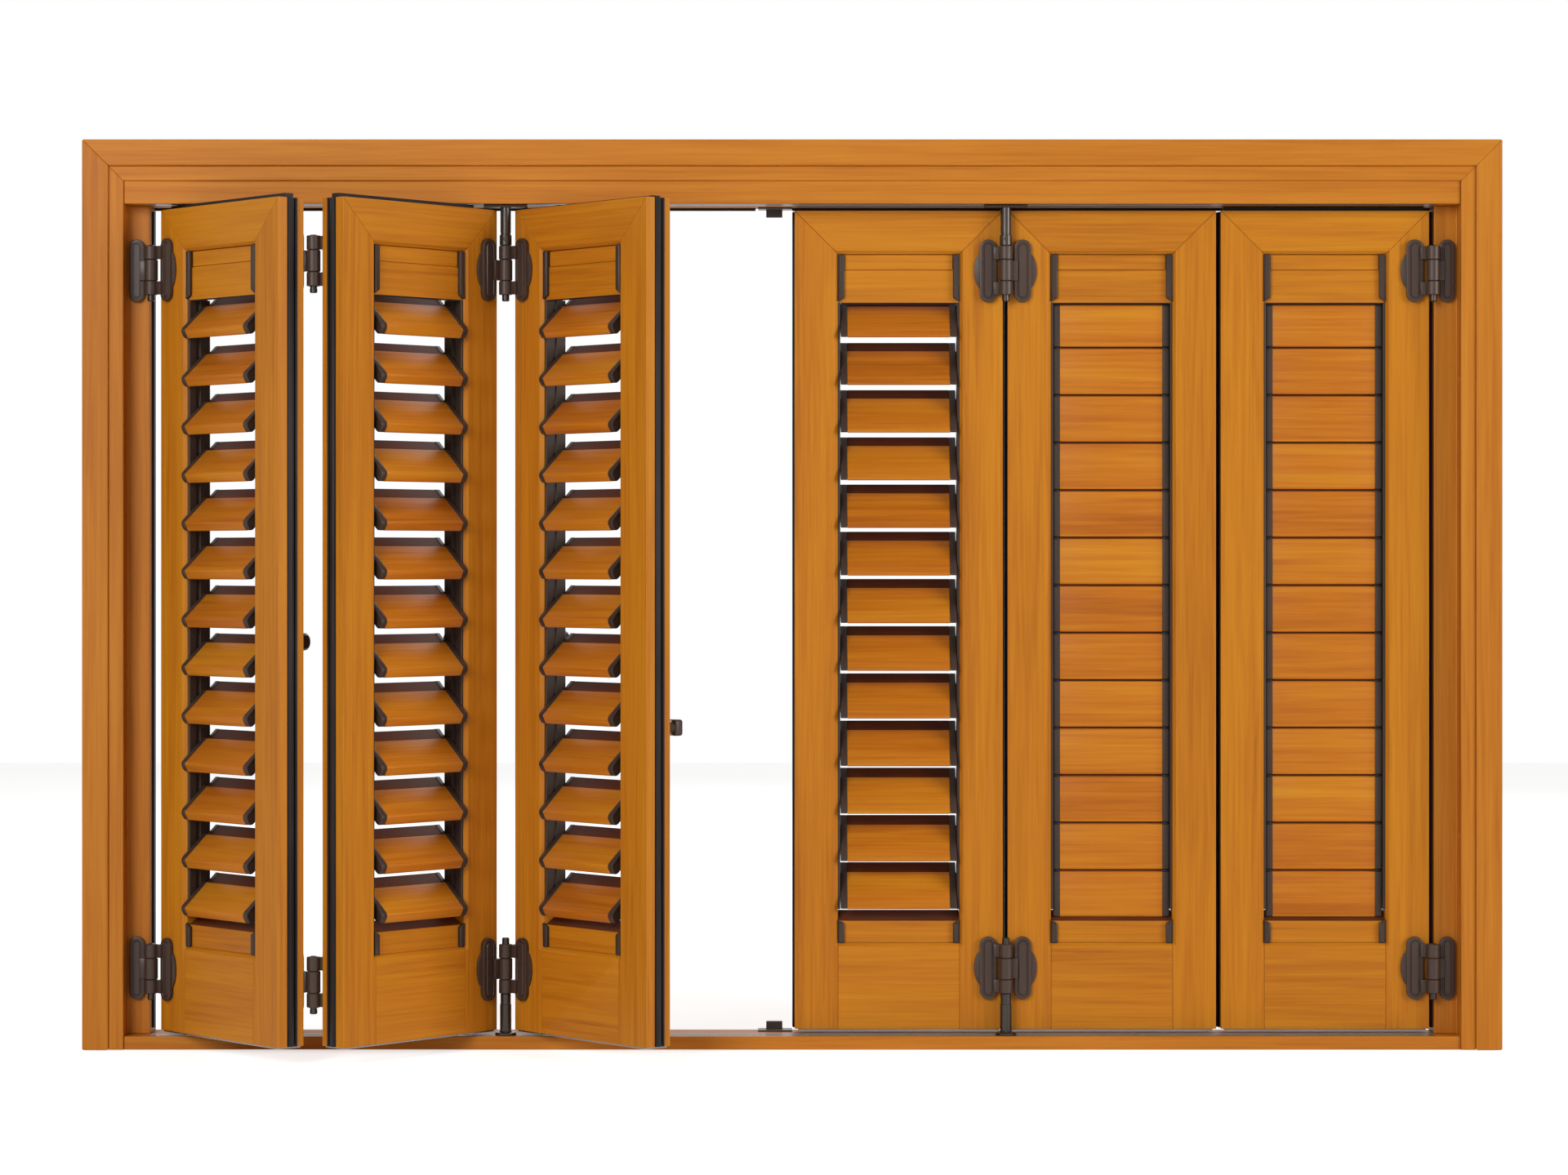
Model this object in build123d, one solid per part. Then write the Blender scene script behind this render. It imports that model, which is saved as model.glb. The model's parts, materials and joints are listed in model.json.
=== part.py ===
from build123d import *
import os
from math import cos, pi, radians, sin

os.makedirs("parts", exist_ok=True)

# Frame: X runs along the wall, Y from the outside to the room, Z up.
# Y = 0 is the front of the closed leaves, Z = 0 the underside of the threshold.
overall_width = 1728.0
overall_height = 1108.0
casing_width = 32.0
casing_thickness = 14.0
casing_back_offset = 20.0
moulding_width = 18.0
moulding_front_offset = 31.0
band_height = 28.0
band_front_offset = 28.0
jamb_face_width = 28.0
frame_depth = 46.0
threshold_height = 16.0
fixing_hole_radius = 4.0
fixing_hole_front_offset = 15.0
fixing_hole_end_offset = 260.0

# Tracks let into the head and the threshold
head_track_width = 22.0
head_track_depth = 14.0
floor_track_width = 18.0
floor_track_depth = 10.0
track_wall_thickness = 2.0
track_slot_width = 8.0

# Seal and keepers on the frame
head_seal_width = 6.0
head_seal_thickness = 3.0
head_seal_back_offset = 4.0
head_seal_end_offset = 45.0
keeper_plate_length = 42.0
keeper_plate_thickness = 2.0
keeper_plate_depth = 24.0
keeper_block_length = 20.0
keeper_block_end_offset = 12.0
keeper_block_height = 9.0
keeper_block_depth = 8.0
keeper_leaf_gap = 2.0

# Leaves
leaves_a_side = 3
leaf_gap = 6.0
leaf_thickness = 36.0
leaf_head_gap = 6.0
leaf_foot_gap = 6.0
stile_width = 53.0
top_rail_height = 53.0
bottom_rail_height = 105.0
opening_chamfer_width = 4.0
joint_gap = 0.2
edge_lip_thickness = 13.0
edge_groove_width = 13.0
edge_groove_depth = 6.0
gasket_proud_height = 2.0
head_strip_thickness = 1.5
foot_strip_thickness = 2.0
strip_end_offset = 4.0
strip_width = 12.0

# Fixed boards above and below the slats
top_board_height = 52.0
top_board_step_height = 20.0
board_setback_depth = 6.0
board_thickness = 20.0
board_step_depth = 2.0
bottom_board_height = 28.0
bottom_board_lip_height = 6.0

# Slats: bevelled section, the upper back edge runs behind the nose of the slat above
slat_count = 13
slat_thickness = 13.0
slat_overlap_height = 7.7
slat_gap = 0.5
slat_nose_depth = 6.0
slat_nose_share = 0.3
slat_end_gap = 0.5
cap_length = 8.0
cap_proud_height = 0.8
cap_ease_gap = 0.2
carrier_strip_thickness = 3.0
carrier_strip_width = 20.0
carrier_end_offset = 7.0
stud_radius = 2.5
stud_width = 1.8
stud_length = 2.0
stud_clearance = 0.2
bracket_width = 8.0
bracket_thickness = 4.0
bracket_height = 29.0
left_slat_tilt = 41.0
d_slat_tilt = 41.0

# Hinges: the pins stand off the leaf faces, in the middle of the gap between two leaves
pin_offset = 12.0
pin_radius = 4.5
pin_clearance = 0.05
pin_tip_length = 8.0
barrel_radius = 8.25
barrel_sides = 8
bore_sides = 6
barrel_end_offset = 8.5
middle_knuckle_height = 26.0
knuckle_gap = 0.4
wing_height = 77.0
wing_thickness = 4.0
wing_inner_offset = 11.0
wing_outer_offset = 32.0
wing_bulge_offset = 38.5
wing_bulge_height = 50.0
jamb_wing_inner_offset = 9.0
jamb_wing_outer_offset = 28.0
arm_length = 14.0
arm_depth = 10.0
wing_corner_width = 7.0
upper_hinge_offset = 74.0
lower_hinge_offset = 75.0

# Carriers: lengthened pins of the front hinges, with a slider above and a foot below
rod_radius = 6.5
rod_sides = 12
collar_radius = 8.0
collar_height = 13.0
slider_length = 53.0
slider_width = 16.0
slider_thickness = 3.0
slider_gap = 0.5
neck_length = 20.0
neck_clearance = 1.0
runner_length = 40.0
runner_height = 6.0
runner_clearance = 1.0
flange_radius = 13.0
flange_thickness = 3.2
flange_gap = 0.3
guide_radius = 3.0
guide_clearance = 1.0

# Tilt knob and handle on the room side
knob_radius = 13.0
knob_grip_radius = 11.0
knob_sides = 8
knob_length = 22.0
knob_base_thickness = 4.0
knob_height_share = 0.476
handle_height_share = 0.374
handle_base_height = 46.0
handle_base_width = 26.0
handle_base_thickness = 8.0
handle_corner_width = 7.0
handle_gap = 0.3
boss_radius = 9.0
boss_length = 26.0
lever_length = 84.0
lever_height = 20.0
lever_thickness = 13.0
lever_corner_width = 6.0

# Angles of the left leaves in the half-folded pose
left_fold_angle = 49.0

# Derived places
half_width = overall_width / 2
casing_inner = half_width - casing_width
jamb_wall = casing_inner - moulding_width
jamb_edge = jamb_wall - jamb_face_width
moulding_top = overall_height - casing_width
band_top = moulding_top - moulding_width
head_underside = band_top - band_height
leaf_total = 2 * leaves_a_side
leaf_width = (2 * jamb_edge - (leaf_total + 1) * leaf_gap) / leaf_total
leaf_bottom = threshold_height + leaf_foot_gap
leaf_top = head_underside - leaf_head_gap
leaf_height = leaf_top - leaf_bottom
leaf_middle = leaf_thickness / 2
pin_beyond = leaf_gap / 2
pin_x = jamb_edge - pin_beyond
opening_width = leaf_width - 2 * stile_width
opening_bottom = leaf_bottom + bottom_rail_height
opening_top = leaf_top - top_rail_height
slats_bottom = opening_bottom + bottom_board_height + bottom_board_lip_height
slats_top = opening_top - top_board_height
slat_pitch = (slats_top - slats_bottom) / slat_count
slat_half = (slat_pitch + slat_overlap_height) / 2
slat_shoulder = slat_half - slat_overlap_height - slat_gap
slat_face = slat_thickness / 2
slat_slope = (slat_overlap_height + slat_gap) / slat_thickness
slat_room = opening_width / 2 - carrier_strip_thickness - slat_end_gap
upper_hinge_z = leaf_top - upper_hinge_offset
lower_hinge_z = leaf_bottom + lower_hinge_offset
hinge_heights = (upper_hinge_z, lower_hinge_z)
knob_z = leaf_bottom + leaf_height * knob_height_share
handle_z = leaf_bottom + leaf_height * handle_height_share
stile_middle = stile_width / 2
barrel_height = wing_height - 2 * barrel_end_offset


def block(x_range, y_range, z_range):
    ranges = (x_range, y_range, z_range)
    middle = [(low + high) / 2 for low, high in ranges]
    sizes = [high - low for low, high in ranges]
    return Pos(*middle) * Box(*sizes)


def prism_x(points, low, high):
    outline = make_face(Polyline(*[(low, y, z) for y, z in points], close=True))
    return extrude(outline, amount=high - low, dir=(1, 0, 0))


def prism_y(points, low, high):
    outline = make_face(Polyline(*[(x, low, z) for x, z in points], close=True))
    return extrude(outline, amount=high - low, dir=(0, 1, 0))


def upright(x, y, low, high, radius):
    bottom = (Align.CENTER, Align.CENTER, Align.MIN)
    return Pos(x, y, low) * Cylinder(radius, high - low, align=bottom)


def faceted(low, high, radius, sides):
    return Pos(0, 0, low) * extrude(RegularPolygon(radius, sides), amount=high - low)


def clipped(low_x, high_x, half_z, corner):
    # upright rectangle with clipped corners, in X and Z
    return [(low_x + corner, -half_z), (high_x - corner, -half_z), (high_x, -half_z + corner),
            (high_x, half_z - corner), (high_x - corner, half_z), (low_x + corner, half_z),
            (low_x, half_z - corner), (low_x, -half_z + corner)]


def mirror_x(shape, x=0.0):
    return mirror(shape, about=Plane.YZ.offset(x))


def mirror_y(shape, y=0.0):
    return mirror(shape, about=Plane.XZ.offset(-y))


def save(name, shapes):
    solids = [solid for shape in shapes for solid in shape.solids()]
    export_step(Compound(solids), f"parts/{name}.step")


# Frame pieces
def cover_casing():
    front = -casing_back_offset - casing_thickness
    end = half_width - joint_gap
    corner = casing_inner - joint_gap
    head = prism_y(
        [(-end, overall_height), (end, overall_height), (corner, moulding_top), (-corner, moulding_top)],
        front, -casing_back_offset)
    side = prism_y(
        [(half_width, 0), (half_width, overall_height), (casing_inner, moulding_top), (casing_inner, 0)],
        front, -casing_back_offset)
    return [head, side, mirror_x(side)]


def fixing_holes():
    inner = jamb_wall - moulding_width
    length = 2 * (casing_inner - inner)
    holes = []
    for z in (fixing_hole_end_offset, moulding_top - fixing_hole_end_offset):
        axis = Plane(origin=(jamb_wall, -fixing_hole_front_offset, z), z_dir=(1, 0, 0))
        holes.append(axis * Cylinder(fixing_hole_radius, length))
    return holes


def right_jamb():
    moulding = prism_y(
        [(casing_inner, 0), (casing_inner, moulding_top), (jamb_wall, band_top), (jamb_wall, 0)],
        -moulding_front_offset, frame_depth)
    face = block((jamb_edge, jamb_wall), (0, frame_depth), (threshold_height, head_underside))
    jamb = moulding + face
    for hole in fixing_holes():
        jamb -= hole
    return jamb


def track(width, depth, level, turn):
    # channel with a slotted cover, profile in Y and Z, the slot on the open side of the groove
    outer = width / 2
    inner = outer - track_wall_thickness
    slot = track_slot_width / 2
    lip = -track_wall_thickness
    floor = -depth + track_wall_thickness
    outside = [(slot, 0), (outer, 0), (outer, -depth), (-outer, -depth), (-outer, 0), (-slot, 0)]
    inside = [(-slot, lip), (-inner, lip), (-inner, floor), (inner, floor), (inner, lip), (slot, lip)]
    points = [(y - pin_offset, level + turn * z) for y, z in outside + inside]
    return prism_x(points, -jamb_edge, jamb_edge)


def track_groove(width, depth, level, turn):
    span = sorted((level, level - turn * depth))
    return block((-jamb_edge, jamb_edge), (-pin_offset - width / 2, -pin_offset + width / 2), span)


def head_frame():
    moulding = prism_y(
        [(-casing_inner, moulding_top), (casing_inner, moulding_top),
         (jamb_wall, band_top), (-jamb_wall, band_top)],
        -moulding_front_offset, frame_depth)
    band = block((-jamb_wall, jamb_wall), (-band_front_offset, frame_depth), (head_underside, band_top))
    return moulding + band - track_groove(head_track_width, head_track_depth, head_underside, -1)


def threshold():
    sill = block((-jamb_wall, jamb_wall), (-band_front_offset, frame_depth), (0, threshold_height))
    return sill - track_groove(floor_track_width, floor_track_depth, threshold_height, 1)


def frame_gaskets():
    back = frame_depth - head_seal_back_offset
    y_range = (back - head_seal_width, back)
    z_range = (head_underside - head_seal_thickness, head_underside)
    left = block((-jamb_edge, -head_seal_end_offset), y_range, z_range)
    right = block((0, jamb_edge), y_range, z_range)
    return [left, right]


def bolt_keepers():
    keepers = []
    front = leaf_thickness + keeper_leaf_gap
    block_x = (-keeper_block_end_offset - keeper_block_length, -keeper_block_end_offset)
    for level, turn in ((head_underside, -1), (threshold_height, 1)):
        seat = level + turn * keeper_plate_thickness
        tip = seat + turn * keeper_block_height
        plate_y = (front + keeper_block_depth - keeper_plate_depth, front + keeper_block_depth)
        plate = block((-keeper_plate_length, 0), plate_y, sorted((level, seat)))
        stop = block(block_x, (front, front + keeper_block_depth), sorted((seat, tip)))
        keepers.append(plate + stop)
    return keepers


# Hinges, drawn round a pin at the origin, with the leaf face at Y = pin_offset
def wing_plate(inner, outer, bulge):
    half = wing_height / 2
    outline = clipped(inner, outer, half, wing_corner_width)
    if bulge:
        ear = wing_bulge_height / 2
        outline[3:3] = [(bulge, -ear + wing_corner_width), (bulge, ear - wing_corner_width)]
    return prism_y(outline, pin_offset - wing_thickness, pin_offset)


def hinge_wing(carries_middle, inner, outer, bulge):
    # the barrels have flats in place of a full round, because they repeat on every hinge
    wing = wing_plate(inner, outer, bulge)
    middle_half = (middle_knuckle_height - knuckle_gap) / 2
    end = barrel_height / 2
    spans = [(middle_half + knuckle_gap, end), (-end, -middle_half - knuckle_gap)]
    if carries_middle:
        spans = [(-middle_half, middle_half)]
    for low, high in spans:
        arm = block((0, arm_length), (pin_offset - arm_depth, pin_offset), (low, high))
        wing += faceted(low, high, barrel_radius, barrel_sides) + arm
    bore_radius = (pin_radius + pin_clearance) / cos(pi / bore_sides)
    return wing - faceted(-barrel_height, barrel_height, bore_radius, bore_sides)


def hinge_pin():
    end = barrel_height / 2
    return upright(0, 0, -end - pin_tip_length, end, pin_radius)


def leaf_wings(edge, face, carries_middle):
    wing = hinge_wing(carries_middle, wing_inner_offset, wing_outer_offset, wing_bulge_offset)
    x = -pin_beyond
    y = -pin_offset
    if edge == "right":
        wing = mirror_x(wing)
        x = leaf_width + pin_beyond
    if face == "back":
        wing = mirror_y(wing)
        y = leaf_thickness + pin_offset
    return [Pos(x, y, z) * wing for z in hinge_heights]


def jamb_wings():
    wing = hinge_wing(True, jamb_wing_inner_offset, jamb_wing_outer_offset, 0)
    right = [Pos(pin_x, -pin_offset, z) * wing for z in hinge_heights]
    return right + [mirror_x(shape) for shape in right]


def jamb_pins():
    return [Pos(x, -pin_offset, z) * hinge_pin() for x in (-pin_x, pin_x) for z in hinge_heights]


# Leaf pieces, drawn with X from the left edge, Y from the front face
def opening_flare(y_outer, y_inner):
    middle_x = leaf_width / 2
    middle_z = (opening_bottom + opening_top) / 2
    height = opening_top - opening_bottom
    sections = []
    for y, grow in ((y_outer, 2 * opening_chamfer_width), (y_inner, 0)):
        level = Plane(origin=(middle_x, y, middle_z), x_dir=(1, 0, 0), z_dir=(0, -1, 0))
        sections.append(level * Rectangle(opening_width + grow, height + grow))
    return loft(sections)


def leaf_frame():
    mitre_x = stile_width
    mitre_z = leaf_top - top_rail_height
    middle = leaf_width / 2
    stile = prism_y(
        [(0, leaf_bottom), (0, leaf_top), (mitre_x, mitre_z), (mitre_x, leaf_bottom)], 0, leaf_thickness)
    groove_y = (edge_lip_thickness, edge_lip_thickness + edge_groove_width)
    groove = block((0, edge_groove_depth), groove_y, (leaf_bottom, leaf_top))
    low = mitre_x + joint_gap
    top_rail = prism_y(
        [(joint_gap, leaf_top), (leaf_width - joint_gap, leaf_top),
         (leaf_width - low, mitre_z), (low, mitre_z)],
        0, leaf_thickness)
    bottom_rail = block((low, leaf_width - low), (0, leaf_thickness), (leaf_bottom, opening_bottom))
    cuts = [groove, mirror_x(groove, middle), opening_flare(0, opening_chamfer_width),
            opening_flare(leaf_thickness, leaf_thickness - opening_chamfer_width)]
    shaped = []
    for piece in (stile, top_rail, bottom_rail):
        for cut in cuts:
            piece -= cut
        shaped.append(piece)
    return shaped + [mirror_x(shaped[0], middle)] + filler_boards()


def filler_boards():
    front = board_setback_depth
    step = front + board_step_depth
    back = front + board_thickness
    ledge = opening_top - top_board_step_height
    head = opening_top - joint_gap
    foot = opening_bottom + joint_gap
    above = slats_top + slat_pitch / 2
    below = slats_bottom - slat_pitch / 2
    low_front, low_back = [above + bevel_low(y - leaf_middle) for y in (front, back)]
    high_front, high_back = [below + bevel_high(y - leaf_middle) for y in (front, back)]
    x_range = (stile_width + joint_gap, leaf_width - stile_width - joint_gap)
    top = [(front, low_front), (front, ledge), (step, ledge), (step, head), (back, head), (back, low_back)]
    bottom = [(front, foot), (front, high_front), (back, high_back), (back, foot)]
    return [prism_x(top, *x_range), prism_x(bottom, *x_range)]


def leaf_gaskets():
    strip = block(
        (-gasket_proud_height, edge_groove_depth),
        (edge_lip_thickness, edge_lip_thickness + edge_groove_width), (leaf_bottom, leaf_top))
    x_range = (strip_end_offset, leaf_width - strip_end_offset)
    y_range = (leaf_middle - strip_width / 2, leaf_middle + strip_width / 2)
    head = block(x_range, y_range, (leaf_top, leaf_top + head_strip_thickness))
    foot = block(x_range, y_range, (leaf_bottom - foot_strip_thickness, leaf_bottom))
    return [strip, mirror_x(strip, leaf_width / 2), head, foot]


# Slats, drawn with the pivot at the origin: X along the slat, Y to the back, Z up when closed
def bevel_low(y):
    return -slat_half + slat_slope * (y + slat_face)


def bevel_high(y):
    return slat_shoulder + slat_slope * (y + slat_face)


def slat_outline(proud, ease):
    # the first point is the back of the nose, the last one the front
    front = -slat_face - proud
    back = slat_face + proud
    under = front + slat_nose_depth
    return [(under, bevel_low(under) + ease), (back, bevel_low(back) + ease),
            (back, bevel_high(back) - ease), (front, bevel_high(front) - ease),
            (front, bevel_low(front) + slat_nose_depth + ease)]


def slat_blade():
    half = slat_room - cap_length
    eased = slat_nose_share * slat_nose_depth
    nose = (-slat_face + eased, bevel_low(-slat_face) + eased)
    return prism_x(slat_outline(0, 0) + [nose], -half, half)


def slat_cap():
    return prism_x(slat_outline(cap_proud_height, cap_ease_gap), slat_room - cap_length, slat_room)


def slat_stud():
    # round pivot with two flats
    axis = Plane(origin=(slat_room, 0, 0), z_dir=(1, 0, 0))
    bottom = (Align.CENTER, Align.CENTER, Align.MIN)
    length = stud_length + slat_end_gap - stud_clearance
    half_width = stud_width / 2
    flats = block((slat_room, slat_room + length), (-half_width, half_width), (-stud_radius, stud_radius))
    return (axis * Cylinder(stud_radius, length, align=bottom)) & flats


def slat_heights():
    return [slats_bottom + slat_pitch * (2 * i + 1) / 2 for i in range(slat_count)]


def slat_place(z, tilt):
    return Pos(leaf_width / 2, leaf_middle, z) * Rot(-tilt, 0, 0)


def slat_carriers():
    half_strip = carrier_strip_width / 2
    groove = stud_radius + stud_clearance
    deep = carrier_strip_thickness - stud_length
    x_low = stile_width
    x_high = stile_width + carrier_strip_thickness
    z_range = (slats_bottom + carrier_end_offset, slats_top - carrier_end_offset)
    strip = block((x_low, x_high), (leaf_middle - half_strip, leaf_middle + half_strip), z_range)
    strip -= block((x_low + deep, x_high), (leaf_middle - groove, leaf_middle + groove), z_range)
    bracket_x = (stile_width, stile_width + bracket_width)
    bracket_y = (board_setback_depth - bracket_thickness, board_setback_depth)
    foot_bracket = block(bracket_x, bracket_y, (opening_bottom, opening_bottom + bracket_height))
    head_bracket = block(bracket_x, bracket_y, (slats_top, opening_top))
    pieces = [strip, foot_bracket, head_bracket]
    return pieces + [mirror_x(piece, leaf_width / 2) for piece in pieces]


def tilt_knob(edge, jointed):
    # the foot is fully round on the leaf whose slats tilt, and has flats where the knob repeats
    foot = faceted(0, knob_base_thickness, knob_radius, knob_sides)
    if jointed:
        foot = upright(0, 0, 0, knob_base_thickness, knob_radius)
    knob = foot + faceted(knob_base_thickness, knob_length, knob_grip_radius, knob_sides)
    x = stile_middle if edge == "left" else leaf_width - stile_middle
    return Pos(x, leaf_thickness, knob_z) * Rot(-90, 0, 0) * knob


def carrier():
    upper_low = upper_hinge_z - barrel_height / 2
    upper_high = upper_hinge_z + barrel_height / 2
    upper_collar = upper_high + collar_height
    plate_top = head_underside - slider_gap
    plate_low = plate_top - slider_thickness
    runner_low = head_underside + track_wall_thickness + runner_clearance / 2
    half_slider = slider_width / 2
    half_neck = (track_slot_width - neck_clearance) / 2
    half_runner = head_track_width / 2 - track_wall_thickness - runner_clearance
    upper = upright(0, 0, upper_low - pin_tip_length, upper_high + knuckle_gap, pin_radius)
    upper += faceted(upper_high + knuckle_gap, upper_collar, collar_radius, rod_sides)
    upper += faceted(upper_collar, plate_low, rod_radius, rod_sides)
    upper += block((-slider_length / 2, slider_length / 2), (-half_slider, half_slider),
                   (plate_low, plate_top))
    upper += block((-neck_length / 2, neck_length / 2), (-half_neck, half_neck), (plate_top, runner_low))
    upper += block((-runner_length / 2, runner_length / 2), (-half_runner, half_runner),
                   (runner_low, runner_low + runner_height))
    lower_low = lower_hinge_z - barrel_height / 2
    lower_high = lower_hinge_z + barrel_height / 2
    lower_collar = lower_low - collar_height
    flange_low = threshold_height + flange_gap
    flange_top = flange_low + flange_thickness
    guide_low = threshold_height - floor_track_depth + track_wall_thickness + guide_clearance
    lower = upright(0, 0, lower_low - knuckle_gap, lower_high + pin_tip_length, pin_radius)
    lower += faceted(lower_collar, lower_low - knuckle_gap, collar_radius, rod_sides)
    lower += faceted(flange_top, lower_collar, rod_radius, rod_sides)
    lower += faceted(flange_low, flange_top, flange_radius, rod_sides)
    lower += faceted(guide_low, flange_low, guide_radius, rod_sides)
    return [upper, lower]


def handle_base():
    half = handle_base_width / 2
    outline = clipped(-half, half, handle_base_height / 2, handle_corner_width)
    plate = prism_y(outline, leaf_thickness, leaf_thickness + handle_base_thickness)
    return Pos(leaf_width - stile_middle, 0, handle_z) * plate


def handle_grip():
    seat_y = leaf_thickness + handle_base_thickness + handle_gap
    end_y = seat_y + boss_length
    bottom = (Align.CENTER, Align.CENTER, Align.MIN)
    boss = Plane(origin=(0, seat_y, 0), z_dir=(0, 1, 0)) * Cylinder(boss_radius, boss_length, align=bottom)
    half = lever_height / 2
    outline = clipped(half - lever_length, half, half, lever_corner_width)
    grip = boss + prism_y(outline, end_y - lever_thickness, end_y)
    return Pos(leaf_width - stile_middle, 0, handle_z) * grip


# Places of the leaves: each leaf turns about the pin that joins it to the leaf before it
def turned(x, y, angle):
    c = cos(radians(angle))
    s = sin(radians(angle))
    return (x * c - y * s, x * s + y * c)


def seat(pin, angle, local_pin):
    return Pos(pin[0], pin[1], 0) * Rot(0, 0, angle) * Pos(-local_pin[0], -local_pin[1], 0)


front_left = (-pin_beyond, -pin_offset)
back_left = (-pin_beyond, leaf_thickness + pin_offset)
span_x = leaf_width + 2 * pin_beyond
span_y = leaf_thickness + 2 * pin_offset
jamb_pin = (-pin_x, -pin_offset)
a_step = turned(span_x, span_y, -left_fold_angle)
ab_pin = (jamb_pin[0] + a_step[0], jamb_pin[1] + a_step[1])
b_step = turned(span_x, -span_y, left_fold_angle)
bc_pin = (ab_pin[0] + b_step[0], ab_pin[1] + b_step[1])
de_pin = (pin_x - 2 * span_x, -pin_offset)
d_edge = leaf_gap / 2

leaf_places = {
    "a": seat(jamb_pin, -left_fold_angle, front_left),
    "b": seat(ab_pin, left_fold_angle, back_left),
    "c": seat(bc_pin, -left_fold_angle, front_left),
    "d": Pos(d_edge, 0, 0),
    "e": Pos(d_edge + span_x, 0, 0),
    "f": Pos(d_edge + 2 * span_x, 0, 0),
}

# Each hinged edge: side, face, and whether this leaf carries the middle knuckle
leaf_hinges = {
    "a": [("left", "front", False), ("right", "back", True)],
    "b": [("left", "back", False), ("right", "front", True)],
    "c": [("left", "front", False)],
    "d": [("right", "front", False)],
    "e": [("right", "back", False), ("left", "front", True)],
    "f": [("right", "front", False), ("left", "back", True)],
}
back_pin_x = {"a": leaf_width + pin_beyond, "f": -pin_beyond}
slat_tilts = {"a": left_slat_tilt, "b": left_slat_tilt, "c": left_slat_tilt,
              "d": d_slat_tilt, "e": 0, "f": 0}
knob_edges = {"a": "right", "b": "right", "c": "left", "d": "right", "e": "left", "f": "left"}


def build_frame():
    save("cover_casing", cover_casing())
    save("right_jamb", [right_jamb()])
    save("left_jamb", [mirror_x(right_jamb())])
    save("head_frame", [head_frame()])
    save("threshold", [threshold()])
    save("head_track", [track(head_track_width, head_track_depth, head_underside, -1)])
    save("floor_track", [track(floor_track_width, floor_track_depth, threshold_height, 1)])
    save("frame_gaskets", frame_gaskets())
    save("bolt_keepers", bolt_keepers())
    save("jamb_hinge_plates", jamb_wings())
    save("jamb_hinge_pins", jamb_pins())


def build_leaf(name):
    place = leaf_places[name]
    save(f"leaf_{name}_frame", [place * piece for piece in leaf_frame()])
    save(f"leaf_{name}_gaskets", [place * piece for piece in leaf_gaskets()])
    plates = [wing for edge, face, middle in leaf_hinges[name] for wing in leaf_wings(edge, face, middle)]
    if name in back_pin_x:
        y = leaf_thickness + pin_offset
        plates += [Pos(back_pin_x[name], y, z) * hinge_pin() for z in hinge_heights]
    save(f"leaf_{name}_hinge_plates", [place * plate for plate in plates])


def build_slats(name):
    place = leaf_places[name]
    blade = slat_blade()
    cap = slat_cap()
    caps = [cap, mirror_x(cap)]
    seats = [slat_place(z, slat_tilts[name]) for z in slat_heights()]
    knob = tilt_knob(knob_edges[name], name == "d")
    if name != "d":
        save(f"leaf_{name}_slats", [place * spot * blade for spot in seats])
        fittings = [spot * end for spot in seats for end in caps] + slat_carriers() + [knob]
        save(f"leaf_{name}_slat_fittings", [place * fitting for fitting in fittings])
        return
    stud = slat_stud()
    pivots = [caps[0] + stud, caps[1] + mirror_x(stud)]
    save("leaf_d_slat_carriers", [place * piece for piece in slat_carriers()])
    save("leaf_d_tilt_knob", [place * knob])
    for number, spot in enumerate(seats, 1):
        save(f"leaf_d_slat_{number:02d}", [place * spot * piece for piece in [blade] + pivots])


def build_moving():
    save("left_carrier", [Pos(bc_pin[0], bc_pin[1], 0) * piece for piece in carrier()])
    save("right_carrier", [Pos(de_pin[0], de_pin[1], 0) * piece for piece in carrier()])
    save("handle_base", [leaf_places["c"] * handle_base()])
    save("handle_grip", [leaf_places["c"] * handle_grip()])


build_frame()
for leaf_name in leaf_places:
    build_leaf(leaf_name)
    build_slats(leaf_name)
build_moving()
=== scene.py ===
import json
import math

import bpy
from mathutils import Matrix, Vector


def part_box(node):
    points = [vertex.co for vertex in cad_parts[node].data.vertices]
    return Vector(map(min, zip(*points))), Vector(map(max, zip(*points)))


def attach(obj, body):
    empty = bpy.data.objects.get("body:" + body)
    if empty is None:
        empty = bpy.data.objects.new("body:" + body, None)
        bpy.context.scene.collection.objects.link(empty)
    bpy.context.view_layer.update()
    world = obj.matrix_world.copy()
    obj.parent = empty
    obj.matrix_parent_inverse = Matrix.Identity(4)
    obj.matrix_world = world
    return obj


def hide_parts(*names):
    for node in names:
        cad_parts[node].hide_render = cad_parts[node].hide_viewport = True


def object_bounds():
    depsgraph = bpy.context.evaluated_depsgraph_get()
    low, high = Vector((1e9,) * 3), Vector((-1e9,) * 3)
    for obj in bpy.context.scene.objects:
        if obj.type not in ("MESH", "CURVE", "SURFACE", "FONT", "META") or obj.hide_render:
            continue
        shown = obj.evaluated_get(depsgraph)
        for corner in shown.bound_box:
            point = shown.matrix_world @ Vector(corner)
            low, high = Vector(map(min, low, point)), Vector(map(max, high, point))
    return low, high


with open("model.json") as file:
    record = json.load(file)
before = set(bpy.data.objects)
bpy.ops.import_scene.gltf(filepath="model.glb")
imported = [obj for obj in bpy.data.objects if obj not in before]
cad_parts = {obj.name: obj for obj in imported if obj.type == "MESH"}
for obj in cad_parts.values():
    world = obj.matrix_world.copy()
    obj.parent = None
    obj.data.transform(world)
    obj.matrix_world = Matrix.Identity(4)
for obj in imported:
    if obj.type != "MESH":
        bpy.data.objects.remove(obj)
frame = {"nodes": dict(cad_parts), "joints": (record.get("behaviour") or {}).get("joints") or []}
nodes = frame["nodes"]
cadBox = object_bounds()
mm = 0.001
print("frame loaded", len(nodes), "nodes")

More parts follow.
